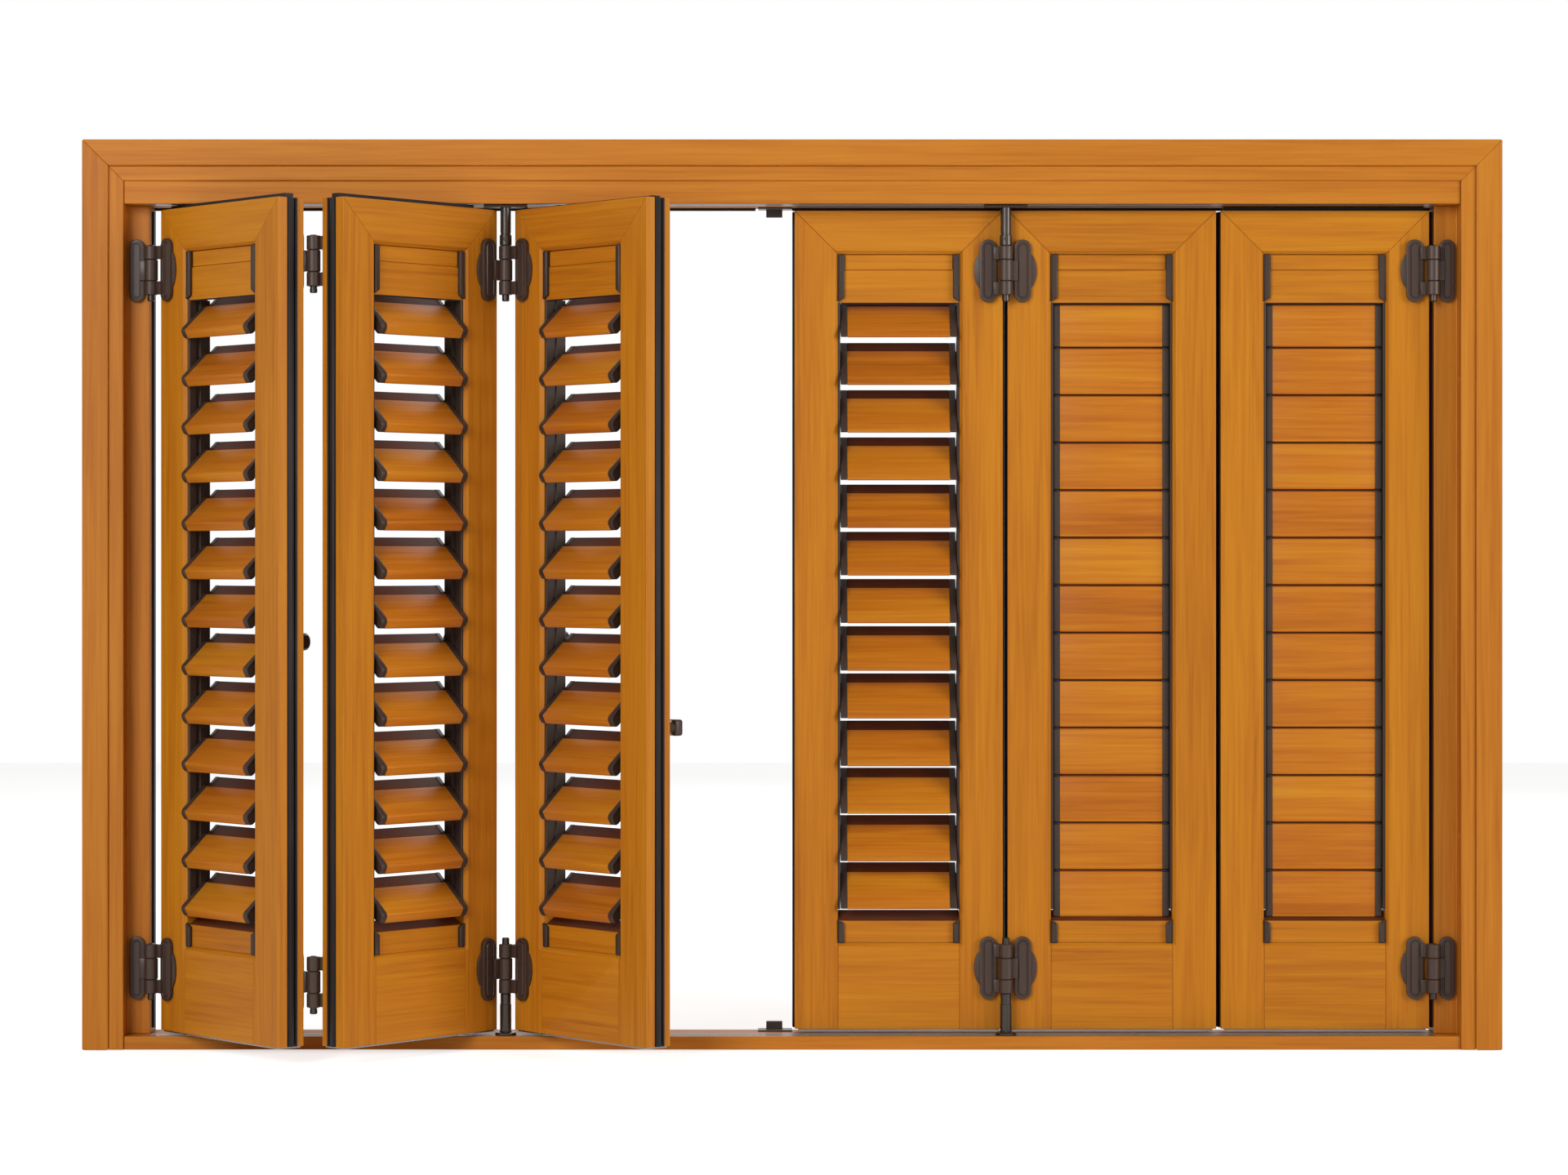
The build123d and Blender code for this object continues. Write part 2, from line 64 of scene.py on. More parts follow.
# places, read from the frame: each leaf hangs on the pin of the leaf before it
jointAt = {joint["name"]: Vector(joint["pos_m"]) for joint in frame["joints"]}
leafLow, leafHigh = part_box("leaf_d_frame")
leafWidth = leafHigh.x - leafLow.x
leafThick = leafHigh.y - leafLow.y
pinAway = jointAt["right_leaf_swing"].x - leafHigh.x
pinOff = leafLow.y - jointAt["right_leaf_swing"].y
leafSpan = leafWidth + 2 * pinAway
frontPin = Vector((-pinAway, -pinOff, 0))
backPin = Vector((-pinAway, leafThick + pinOff, 0))
flatStep = jointAt["right_back_hinge"] - jointAt["right_leaf_swing"]
foldStep = jointAt["left_back_hinge"] - jointAt["left_fold"]
foldTurn = math.atan2(foldStep.y, foldStep.x) - math.atan2(flatStep.y, flatStep.x)


def seatLeaf(pinName, turn, localPin):
    pin = Vector((jointAt[pinName].x, jointAt[pinName].y, 0))
    return Matrix.Translation(pin) @ Matrix.Rotation(turn, 4, "Z") @ Matrix.Translation(-localPin)


leafPlace = {
    "a": seatLeaf("left_fold", foldTurn, frontPin),
    "b": seatLeaf("left_back_hinge", -foldTurn, backPin),
    "c": seatLeaf("left_leaf_swing", foldTurn, frontPin),
    "d": Matrix.Translation((leafLow.x, leafLow.y, 0)),
    "e": Matrix.Translation((leafLow.x + leafSpan, leafLow.y, 0)),
    "f": Matrix.Translation((leafLow.x + 2 * leafSpan, leafLow.y, 0)),
}
leafSizes = {"stile": 53, "topRail": 53, "bottomRail": 105, "topBoard": 52}
openingLow = leafLow.z + leafSizes["bottomRail"] * mm
openingHigh = leafHigh.z - leafSizes["topRail"] * mm
slatCount = 13
pivotHeights = [jointAt[f"slat_tilt_{number:02d}"].z for number in range(1, slatCount + 1)]
slatPitch = (pivotHeights[-1] - pivotHeights[0]) / (slatCount - 1)


# modelling helpers
def layOut(axis, along, u, v):
    return {"X": (along, u, v), "Y": (u, along, v), "Z": (u, v, along)}[axis]


def extrudeOutline(name, points, axis, low, high):
    # a filled ring is laid on the outline, in mm, and extruded along one axis
    bpy.ops.object.select_all(action="DESELECT")
    bpy.ops.mesh.primitive_circle_add(vertices=len(points), radius=1, fill_type="NGON")
    piece = bpy.context.object
    piece.name = name
    for vertex, (u, v) in zip(piece.data.vertices, points):
        vertex.co = Vector(layOut(axis, low, u, v)) * mm
    bpy.ops.object.mode_set(mode="EDIT")
    bpy.ops.mesh.select_all(action="SELECT")
    bpy.ops.mesh.extrude_region_move(
        TRANSFORM_OT_translate={"value": Vector(layOut(axis, high - low, 0, 0)) * mm})
    bpy.ops.mesh.select_all(action="SELECT")
    bpy.ops.mesh.normals_make_consistent(inside=False)
    bpy.ops.object.mode_set(mode="OBJECT")
    return piece


def startBlock(name, low, high):
    # a cube at its size and place, in mm
    bpy.ops.object.select_all(action="DESELECT")
    middle = [(a + b) / 2 * mm for a, b in zip(low, high)]
    size = [(b - a) * mm for a, b in zip(low, high)]
    bpy.ops.mesh.primitive_cube_add(size=1, location=middle, scale=size)
    piece = bpy.context.object
    piece.name = name
    bpy.ops.object.transform_apply(location=True, rotation=True, scale=True)
    return piece


def turnPiece(name, steps, sides=28):
    # a disc is extruded step by step along Z; each step is a height and a radius, in mm
    bpy.ops.object.select_all(action="DESELECT")
    height, radius = steps[0]
    bpy.ops.mesh.primitive_circle_add(
        vertices=sides, radius=radius * mm, fill_type="NGON", location=(0, 0, height * mm))
    piece = bpy.context.object
    piece.name = name
    bpy.ops.object.transform_apply(location=True, rotation=True, scale=True)
    bpy.ops.object.mode_set(mode="EDIT")
    bpy.ops.mesh.select_all(action="SELECT")
    for nextHeight, nextRadius in steps[1:]:
        rise = (nextHeight - height) * mm
        bpy.ops.mesh.extrude_region_move(TRANSFORM_OT_translate={"value": (0, 0, rise)})
        growth = nextRadius / radius
        bpy.ops.transform.resize(value=(growth, growth, 1), center_override=(0, 0, nextHeight * mm))
        height, radius = nextHeight, nextRadius
    bpy.ops.mesh.select_all(action="SELECT")
    bpy.ops.mesh.normals_make_consistent(inside=False)
    bpy.ops.object.mode_set(mode="OBJECT")
    return piece


def activate(piece):
    bpy.ops.object.select_all(action="DESELECT")
    piece.select_set(True)
    bpy.context.view_layer.objects.active = piece


# how squarely a face has to look along an axis to be picked
facing = {"square": 0.95, "end": 0.9, "side": 0.8, "lip": 0.3}


def pickFaces(piece, test):
    # leaves the piece in edit mode with the wanted faces selected
    activate(piece)
    bpy.context.tool_settings.mesh_select_mode = (False, False, True)
    bpy.ops.object.mode_set(mode="EDIT")
    bpy.ops.mesh.select_all(action="DESELECT")
    bpy.ops.object.mode_set(mode="OBJECT")
    for face in piece.data.polygons:
        face.select = test(face.center / mm, face.normal)
    bpy.ops.object.mode_set(mode="EDIT")


def pickEdges(piece, test):
    # the same for edges, by the places of their ends
    activate(piece)
    bpy.context.tool_settings.mesh_select_mode = (False, True, False)
    bpy.ops.object.mode_set(mode="EDIT")
    bpy.ops.mesh.select_all(action="DESELECT")
    bpy.ops.object.mode_set(mode="OBJECT")
    for edge in piece.data.edges:
        edge.select = all(test(piece.data.vertices[index].co / mm) for index in edge.vertices)
    bpy.ops.object.mode_set(mode="EDIT")


def leaveEdit():
    bpy.ops.object.mode_set(mode="OBJECT")


def easeEdges(piece, width, segments=2, angle=30):
    activate(piece)
    ease = piece.modifiers.new("ease", "BEVEL")
    ease.width = width * mm
    ease.segments = segments
    ease.limit_method = "ANGLE"
    ease.angle_limit = math.radians(angle)
    bpy.ops.object.modifier_apply(modifier="ease")


def smooth(piece, angle=40):
    activate(piece)
    bpy.ops.object.shade_smooth_by_angle(angle=math.radians(angle))


def copyPiece(source, name, place):
    twin = source.copy()
    twin.data = source.data.copy()
    twin.name = name
    twin.data.transform(place)
    if place.determinant() < 0:
        twin.data.flip_normals()
    bpy.context.scene.collection.objects.link(twin)
    return twin


def joinPieces(name, pieces):
    bpy.ops.object.select_all(action="DESELECT")
    for piece in pieces:
        piece.select_set(True)
    bpy.context.view_layer.objects.active = pieces[0]
    if len(pieces) > 1:
        bpy.ops.object.join()
    joined = bpy.context.view_layer.objects.active
    joined.name = name
    joined.data.name = name
    return joined


def dropPieces(*pieces):
    for piece in pieces:
        bpy.data.objects.remove(piece)


def mount(piece, body, slotName, *replaced):
    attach(piece, body)
    if replaced:
        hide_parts(*replaced)


mirrorX = Matrix.Scale(-1, 4, (1, 0, 0))
mirrorY = Matrix.Scale(-1, 4, (0, 1, 0))


# material helpers
def hexColour(text):
    channels = [int(text[i:i + 2], 16) / 255 for i in (1, 3, 5)]
    return [c / 12.92 if c <= 0.04045 else ((c + 0.055) / 1.055) ** 2.4 for c in channels] + [1]


def addNode(tree, kind, inputs=None, **settings):
    node = tree.nodes.new(kind)
    for key, value in settings.items():
        setattr(node, key, value)
    for key, value in (inputs or {}).items():
        if isinstance(value, bpy.types.NodeSocket):
            tree.links.new(value, node.inputs[key])
        else:
            node.inputs[key].default_value = value
    return node


def startMaterial(name):
    material = bpy.data.materials.new(name)
    material.use_nodes = True
    return material, material.node_tree, material.node_tree.nodes["Principled BSDF"]


def setRamp(node, stops):
    while len(node.color_ramp.elements) < len(stops):
        node.color_ramp.elements.new(0.5)
    for element, (position, colour) in zip(node.color_ramp.elements, stops):
        element.position = position
        element.color = hexColour(colour)


# lacquered larch: straight fine grain under a thin satin varnish, warm orange with yellow and red boards;
# the real fibre is finer, drawn as coarse as it needs to show
woodGrain = {
    "fibre": {"width": 3.2, "length": 110, "detail": 3.0, "distortion": 0.3, "weight": 0.35},
    "figure": {"width": 15, "length": 520, "detail": 2.0, "distortion": 1.1, "weight": 0.4},
    "cloud": {"width": 120, "length": 700, "detail": 1.0, "distortion": 0.0, "weight": 0.25},
}
woodLook = {
    "shades": ["#A05A10", "#B66E14", "#C07815", "#C88319"], "stops": (0.3, 0.45, 0.55, 0.7),
    "leafSeed": 7.3, "logStep": 5.0, "meanLuck": 0.5,
    "smoothest": 0.4, "roughest": 0.54, "bumpStrength": 0.35, "bumpDepth": 0.12,
    "specular": 0.18, "coat": 0.04, "coatRoughness": 0.3,
}


def larch(name, place, layout, shades=woodLook["shades"], boardTone=0.0):
    material, tree, shader = startMaterial(name)

    def reckon(operation, *values):
        return addNode(tree, "ShaderNodeMath", dict(enumerate(values)), operation=operation).outputs[0]

    coords = addNode(tree, "ShaderNodeTexCoord")
    local = addNode(tree, "ShaderNodeMapping", {
        "Vector": coords.outputs["Object"], "Location": place.translation,
        "Rotation": (0, 0, place.to_euler().z)}, vector_type="TEXTURE")
    x, y, z = addNode(tree, "ShaderNodeSeparateXYZ", {"Vector": local.outputs[0]}).outputs
    # the grain lies level or upright
    level = {"upright": 0.0, "level": 1.0, "slat": 1.0}.get(layout)
    if layout == "leaf":  # rails and boards lie between the stiles; the head is mitred into them
        fromMiddle = reckon("ABSOLUTE", reckon("SUBTRACT", x, leafWidth / 2))
        fromEdge = reckon("SUBTRACT", leafWidth / 2, fromMiddle)
        between = reckon("GREATER_THAN", fromEdge, leafSizes["stile"] * mm)
        head = reckon("LESS_THAN", reckon("SUBTRACT", leafHigh.z, z), fromEdge)
        level = reckon("MAXIMUM", between, head)
    if layout == "casing":
        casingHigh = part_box("cover_casing")[1]
        fromEdge = reckon("SUBTRACT", casingHigh.x, reckon("ABSOLUTE", x))
        level = reckon("LESS_THAN", reckon("SUBTRACT", casingHigh.z, z), fromEdge)
    across = addNode(tree, "ShaderNodeMix", {"Factor": level, "A": x, "B": z}).outputs[0]
    along = addNode(tree, "ShaderNodeMix", {"Factor": level, "A": z, "B": x}).outputs[0]
    # each board starts elsewhere in the log
    board = level
    if layout == "slat":
        shifted = reckon("SUBTRACT", z, pivotHeights[0] - slatPitch / 2)
        board = reckon("FLOOR", reckon("DIVIDE", shifted, slatPitch))
    seed = addNode(tree, "ShaderNodeCombineXYZ", {
        "X": place.translation.x * woodLook["leafSeed"], "Y": board})
    luck = addNode(tree, "ShaderNodeTexWhiteNoise", {"Vector": seed.outputs[0]}, noise_dimensions="3D")
    depth = reckon("MULTIPLY_ADD", luck.outputs["Value"], woodLook["logStep"], y)
    spot = addNode(tree, "ShaderNodeCombineXYZ", {"X": across, "Y": depth, "Z": along})
    noises = {}
    for key, grain in woodGrain.items():
        width = grain["width"] * mm
        length = grain["length"] * mm
        scaled = addNode(tree, "ShaderNodeVectorMath", {
            0: spot.outputs[0], 1: (1 / width, 1 / width, 1 / length)}, operation="MULTIPLY")
        noises[key] = addNode(tree, "ShaderNodeTexNoise", {
            "Vector": scaled.outputs[0], "Scale": 1.0, "Detail": grain["detail"],
            "Distortion": grain["distortion"]}).outputs[0]
    mixed = reckon("MULTIPLY", noises["cloud"], woodGrain["cloud"]["weight"])
    for key in ("figure", "fibre"):
        mixed = reckon("MULTIPLY_ADD", noises[key], woodGrain[key]["weight"], mixed)
    if boardTone:
        centred = reckon("SUBTRACT", luck.outputs["Value"], woodLook["meanLuck"])
        mixed = reckon("MULTIPLY_ADD", centred, boardTone, mixed)
    ramp = addNode(tree, "ShaderNodeValToRGB", {"Fac": mixed})
    setRamp(ramp, list(zip(woodLook["stops"], shades)))
    tree.links.new(ramp.outputs[0], shader.inputs["Base Color"])
    rough = addNode(tree, "ShaderNodeMapRange", {
        "Value": noises["fibre"], "To Min": woodLook["smoothest"], "To Max": woodLook["roughest"]})
    tree.links.new(rough.outputs[0], shader.inputs["Roughness"])
    bump = addNode(tree, "ShaderNodeBump", {
        "Height": noises["fibre"], "Strength": woodLook["bumpStrength"], "Distance": woodLook["bumpDepth"] * mm})
    tree.links.new(bump.outputs[0], shader.inputs["Normal"])
    shader.inputs["Specular IOR Level"].default_value = woodLook["specular"]
    shader.inputs["Coat Weight"].default_value = woodLook["coat"]
    shader.inputs["Coat Roughness"].default_value = woodLook["coatRoughness"]
    return material


grainLook = {
    "detail": 3.0, "cloudScale": 9.0, "cloudDetail": 2.0, "cloudShare": 0.45, "stops": (0.35, 0.65),
    "roughSpread": 0.07, "bumpStrength": 0.4,
}


def grained(name, colours, grain, roughness, bumpDepth, metallic=0.0, stretch=(1, 1, 1), specular=0.25):
    # one surface grain, its size in mm, drives colour, gloss and relief together
    material, tree, shader = startMaterial(name)
    coords = addNode(tree, "ShaderNodeTexCoord")
    scaled = addNode(tree, "ShaderNodeVectorMath", {
        0: coords.outputs["Object"], 1: [1 / (grain * mm * part) for part in stretch]}, operation="MULTIPLY")
    noise = addNode(tree, "ShaderNodeTexNoise", {
        "Vector": scaled.outputs[0], "Scale": 1.0, "Detail": grainLook["detail"]})
    wide = addNode(tree, "ShaderNodeTexNoise", {
        "Vector": coords.outputs["Object"], "Scale": grainLook["cloudScale"], "Detail": grainLook["cloudDetail"]})
    both = addNode(tree, "ShaderNodeMix", {
        "Factor": grainLook["cloudShare"], "A": noise.outputs[0], "B": wide.outputs[0]})
    ramp = addNode(tree, "ShaderNodeValToRGB", {"Fac": both.outputs[0]})
    setRamp(ramp, list(zip(grainLook["stops"], colours)))
    tree.links.new(ramp.outputs[0], shader.inputs["Base Color"])
    spread = grainLook["roughSpread"]
    rough = addNode(tree, "ShaderNodeMapRange", {
        "Value": noise.outputs[0], "To Min": roughness - spread, "To Max": roughness + spread})
    tree.links.new(rough.outputs[0], shader.inputs["Roughness"])
    bump = addNode(tree, "ShaderNodeBump", {
        "Height": noise.outputs[0], "Strength": grainLook["bumpStrength"], "Distance": bumpDepth * mm})
    tree.links.new(bump.outputs[0], shader.inputs["Normal"])
    shader.inputs["Metallic"].default_value = metallic
    shader.inputs["Specular IOR Level"].default_value = specular
    return material


atOrigin = Matrix.Identity(4)
frameShades = ["#A65E16", "#B66D1B", "#BF7620", "#C68026"]
slatShades = ["#A4580E", "#BA6A14", "#C27517", "#CB861B"]
slatTone = 0.11
levelWood = larch("lacquered larch, level", atOrigin, "level", frameShades)
uprightWood = larch("lacquered larch, upright", atOrigin, "upright", frameShades)
casingWood = larch("lacquered larch, casing", atOrigin, "casing", frameShades)
leafWood = {key: larch(f"lacquered larch, leaf {key}", place, "leaf") for key, place in leafPlace.items()}
slatWood = {key: larch(f"lacquered larch, slats {key}", place, "slat", slatShades, slatTone)
            for key, place in leafPlace.items()}
# brown powder coat on zinc: even satin skin with a faint orange peel
hingeCoat = grained("brown powder coat on zinc", ("#3B2B23", "#4A3930"), 1.6, 0.34, 0.05, specular=0.3)
# moulded nylon: dark brown, dull, with the fine grain of the mould
capNylon = grained("moulded brown nylon", ("#33261F", "#42342C"), 1.2, 0.42, 0.04)
# dark lip of the slat: red brown, dull, brushed along the board; the same colour is painted shade on the sheet
# over each bottom board and partly painted shade on the topmost slat's step under the top board
darkLipAndPaintedShade = grained("dark brown lip and painted shade", ("#542A16", "#6A381E"), 2.2, 0.55, 0.05,
                   stretch=(30, 1, 1), specular=0.06)
# extruded rubber: near black, matt, faint streaks along the strip
sealRubber = grained("extruded rubber", ("#120F0E", "#292322"), 1.5, 0.5, 0.05,
                     stretch=(1, 1, 40), specular=0.2)
# mill aluminium: pale grey with draw lines along the bar
trackMetal = grained("mill aluminium", ("#7C7974", "#96938D"), 1.2, 0.26, 0.03,
                     metallic=0.85, stretch=(60, 1, 1))
# browned steel rod: dark, smooth, with clear reflections
rodSteel = grained("browned steel", ("#3A3531", "#4A4440"), 1.4, 0.26, 0.02,
                   metallic=0.7, stretch=(1, 1, 30))
print("materials made", len(bpy.data.materials))


# frame, leaf frames, tracks and keepers are the CAD solids with eased edges
dressSizes = {"weld": 0.02, "segments": 2, "angle": 30, "leafEase": 0.7}
dressedNodes = [
    ("head_frame", levelWood, 1.2), ("threshold", levelWood, 1.0),
    ("left_jamb", uprightWood, 1.2), ("right_jamb", uprightWood, 1.2), ("cover_casing", casingWood, 1.5),
    ("head_track", trackMetal, 0.3), ("floor_track", trackMetal, 0.3),
    ("frame_gaskets", sealRubber, 0.6), ("bolt_keepers", hingeCoat, 0.8),
]
dressedNodes += [(f"leaf_{key}_frame", wood, dressSizes["leafEase"]) for key, wood in leafWood.items()]


def dressNode(name, material, ease):
    piece = nodes[name]
    piece.data.materials.clear()
    piece.data.materials.append(material)
    weld = piece.modifiers.new("weld", "WELD")
    weld.merge_threshold = dressSizes["weld"] * mm
    bevel = piece.modifiers.new("ease", "BEVEL")
    bevel.width = ease * mm
    bevel.segments = dressSizes["segments"]
    bevel.limit_method = "ANGLE"
    bevel.angle_limit = math.radians(dressSizes["angle"])


for name, material, ease in dressedNodes:
    dressNode(name, material, ease)
print("wood dressed")


# strips on the filler boards: a cover strip in the step of each top board, a rubber lip under its front edge
# over the topmost slat, and a thin dark sheet of painted shade on the sloped top of each bottom board
boardSizes = {"front": 6, "step": 951, "lowerTop": 153.2, "upperFoot": 911.8}
boardSlope = 0.631
trimSizes = {"line": 1.2, "front": 6.3, "back": 8.3, "ease": 0.35, "sideGap": 8.5, "topGap": 1.0}
paintedShadeStripSizes = {"front": 7, "back": 25, "thick": 0.3, "edge": 0.5}
boardSealSizes = {"front": 6.4, "back": 8.6, "drop": 1.8, "sideGap": 3.3, "ease": 0.35}


def boardEdge(start, y):
    # height of a board's sloped edge at a depth
    return start + (y - boardSizes["front"]) * boardSlope


def makeTrim():
    side = leafSizes["stile"] + trimSizes["sideGap"]
    trim = startBlock("trim", (side, trimSizes["front"], boardSizes["step"] + trimSizes["line"]),
                      (leafWidth / mm - side, trimSizes["back"], openingHigh / mm - trimSizes["topGap"]))
    easeEdges(trim, trimSizes["ease"])
    return trim


# painted shade: a thin dark sheet on the sloped top of the bottom board, where the lowest slat shades it
def makePaintedShadeStrip():
    side = leafSizes["stile"] + paintedShadeStripSizes["edge"]
    depths = (paintedShadeStripSizes["front"], paintedShadeStripSizes["back"])
    line = [(y, boardEdge(boardSizes["lowerTop"], y)) for y in depths]
    outline = line + [(y, z + paintedShadeStripSizes["thick"]) for y, z in reversed(line)]
    lip = extrudeOutline("lip", outline, "X", side, leafWidth / mm - side)
    lip.data.materials.append(darkLipAndPaintedShade)
    return lip


def makeBoardSeal():
    side = leafSizes["stile"] + boardSealSizes["sideGap"]
    front = boardSealSizes["front"]
    back = boardSealSizes["back"]
    low = boardSizes["upperFoot"] - boardSealSizes["drop"]
    outline = [(front, low), (back, low)]
    outline += [(y, boardEdge(boardSizes["upperFoot"], y)) for y in (back, front)]
    seal = extrudeOutline("boardSeal", outline, "X", side, leafWidth / mm - side)
    easeEdges(seal, boardSealSizes["ease"])
    seal.data.materials.append(sealRubber)
    return seal


trim = makeTrim()
paintedShadeStrip = makePaintedShadeStrip()
boardSeal = makeBoardSeal()
for key, place in leafPlace.items():
    cover = copyPiece(trim, f"boardTrim{key.upper()}", place)
    cover.data.materials.append(leafWood[key])
    mount(cover, f"leaf_{key}", "leaf_wood")
    # the dark sheet on the bottom board is painted shade
    mount(copyPiece(paintedShadeStrip, f"paintedShadeStrip{key.upper()}", place), f"leaf_{key}", "slat_wood")
    mount(copyPiece(boardSeal, f"boardSeal{key.upper()}", place), f"leaf_{key}", "seal_rubber")
dropPieces(trim, paintedShadeStrip, boardSeal)
print("board strips placed")


# slats: front face, nose below, thin lip that goes behind the slat above
slatSizes = {
    "thick": 13, "overlap": 7.7, "lipReach": 9.0, "gap": 0.5, "shelf": 2.0, "lipFront": -2.0, "ease": 0.5,
    "nose": 3.0, "noseBack": 0.7, "fillet": 0.6, "topStep": 1.6, "topBand": 6, "endGap": 0.5, "strip": 3,
    "capLength": 8, "capProud": 0.8, "capEase": 0.7, "capNose": 5.0, "capBack": 6.2,
    "pocketEdge": 1.3, "pocketDeep": 1.0,
    "bluntRise": 4.0, "bluntShelf": 14.5, "bluntLip": 35, "bluntNose": 1.6, "bluntBack": 4.0,
    "roundSteps": 4, "easeSteps": 2, "easeAngle": 50, "smoothAngle": 30,
}
slatTilt = {"a": 47, "b": 47, "c": 47, "d": 41, "e": 0, "f": 0}
slatHalf = (slatPitch / mm + slatSizes["overlap"]) / 2
slatRoom = leafWidth / mm / 2 - leafSizes["stile"] - slatSizes["strip"] - slatSizes["endGap"]
slopeStart = slatHalf - slatSizes["overlap"] - slatSizes["gap"]
# blunt: the fixed open slats with their full nose; closing: a thin nose that closes over the lip below;
# topmost: closes under the sloped board and has a sloped top with a step instead of a lip, its band coloured dark
# as partly painted shade under the board
slatShelf = {
    "blunt": slatSizes["bluntShelf"],
    "closing": slatHalf - slatSizes["overlap"] - slatSizes["shelf"],
    "topmost": slopeStart - slatSizes["topBand"],
}


def slatKind(key, number):
    if key in "abc":
        return "blunt"
    return "topmost" if number == slatCount else "closing"


def slatOutline(kind, proud):
    half = slatSizes["thick"] / 2
    front = -half - proud
    back = half + proud
    low = -slatHalf
    shelf = slatShelf[kind]
    lipFront = slatSizes["lipFront"] - proud / 4
    if kind == "blunt":
        shelf += proud / 2
        lipTop = slatSizes["bluntLip"] + proud / 4
        nose = [(front, low + slatSizes["bluntRise"] - proud), (back, low - proud / 4)]
        radii = ("capNose", "capBack") if proud else ("bluntNose", "bluntBack")
    else:
        lipTop = slatHalf + slatSizes["lipReach"] - proud / 4
        rebate = low + slatSizes["overlap"] + slatSizes["lipReach"] + slatSizes["gap"]
        noseBack = lipFront - slatSizes["gap"]
        noseFoot = low + (noseBack - front) * boardSlope
        nose = [(front, low), (noseBack, noseFoot), (noseBack, rebate), (back, rebate)]
        radii = ("nose", "noseBack") if kind == "closing" else ("nose",)
    lip = [(back, lipTop), (lipFront, lipTop)]
    if kind == "topmost":
        lipFront = slatSizes["topStep"] - half
        lip = [(y, slopeStart + (y + half) * boardSlope) for y in (back, lipFront)]
    top = lip + [(lipFront, shelf), (front, shelf)]
    rounds = [(corner, slatSizes[key]) for corner, key in zip(nose, radii)]
    rounds += [(corner, slatSizes["fillet"]) for corner in nose[2:3] + top[2:3]]  # the inner corners
    return nose + top, rounds


def shapeSlat(name, kind, proud, low, high, ease):
    outline, rounds = slatOutline(kind, proud)
    piece = extrudeOutline(name, outline, "X", low, high)
    near = 0.01
    for (y, z), width in rounds:
        pickEdges(piece, lambda at: abs(at.y - y) < near and abs(at.z - z) < near)
        bpy.ops.mesh.bevel(offset=width * mm, segments=slatSizes["roundSteps"], affect="EDGES")
        leaveEdit()
    easeEdges(piece, ease, slatSizes["easeSteps"], slatSizes["easeAngle"])
    return piece


def makeBlade(kind):
    half = slatRoom - slatSizes["capLength"]
    blade = shapeSlat("blade", kind, 0, -half, half, slatSizes["ease"])
    smooth(blade, slatSizes["smoothAngle"])
    for material in (slatWood["d"], darkLipAndPaintedShade):
        blade.data.materials.append(material)
    lipLow = slatShelf[kind] + slatSizes["ease"]
    for face in blade.data.polygons:  # the lip is coloured dark on its front and top; on the topmost slat this dark band is partly painted shade under the board
        outward = max(-face.normal.y, face.normal.z) > facing["lip"]
        face.material_index = 1 if outward and face.center.z / mm > lipLow else 0
    return blade


def makeCap(kind):
    low = slatRoom - slatSizes["capLength"]
    cap = shapeSlat("cap", kind, slatSizes["capProud"], low, slatRoom, slatSizes["capEase"])
    pickFaces(cap, lambda at, normal: normal.x > facing["end"])  # shallow pocket in the moulded end
    bpy.ops.mesh.inset(thickness=slatSizes["pocketEdge"] * mm, depth=0)
    bpy.ops.mesh.extrude_region_move(
        TRANSFORM_OT_translate={"value": (-slatSizes["pocketDeep"] * mm, 0, 0)})
    leaveEdit()
    smooth(cap)
    cap.data.materials.append(capNylon)
    return cap


def bladeCopy(source, name, place, wood):
    twin = copyPiece(source, name, place)
    twin.data.materials[0] = wood
    return twin


blades = {kind: makeBlade(kind) for kind in slatShelf}
caps = {kind: [makeCap(kind)] for kind in slatShelf}
for pair in caps.values():
    pair.append(copyPiece(pair[0], "farCap", mirrorX))


def slatSeat(key, z):
    lean = Matrix.Rotation(-math.radians(slatTilt[key]), 4, "X")
    return leafPlace[key] @ Matrix.Translation((leafWidth / 2, leafThick / 2, z)) @ lean


print("slats modelled", len(blades), "kinds")


# carriers of the slats in the reveals, brackets at the boards, tilt knob on the room side
fittingSizes = {
    "stripFront": 5, "stripBack": 35.4, "stripLow": 168, "stripHigh": 912, "groove": 2.7, "grooveDeep": 2,
    "stripEdge": 1, "stripEase": 0.3,
    "bracketWidth": 8, "bracketFront": 1.6, "bracketBack": 6, "footBracket": 29, "headDrop": 6.5, "headGap": 0.2,
    "slant": 5, "bracketEase": 0.8, "bracketSteps": 3, "panelEdge": 1.2, "panelRise": 0.5,
    "knobRadius": 13, "knobGrip": 11, "knobNeck": 7, "knobFoot": 4, "knobLength": 22, "knobShare": 0.476,
    "knobBore": 4, "flatsFrom": 7, "flatsWidth": 0.72, "knobSides": 32,
}


def makeStrip():
    size = fittingSizes
    low = size["stripLow"]
    high = size["stripHigh"]
    stile = leafSizes["stile"]
    front = size["stripFront"]
    back = size["stripBack"]
    middle = leafThick / mm / 2
    groove = size["groove"]
    floor = stile + slatSizes["strip"] - size["grooveDeep"]
    face = stile + slatSizes["strip"]
    edge = size["stripEdge"]
    outline = [(stile, front), (face - edge, front), (face, front + edge),
               (face, middle - groove), (floor, middle - groove),
               (floor, middle + groove), (face, middle + groove),
               (face, back - edge), (face - edge, back), (stile, back)]
    strip = extrudeOutline("strip", outline, "Z", low, high)
    easeEdges(strip, size["stripEase"], 1)
    return strip


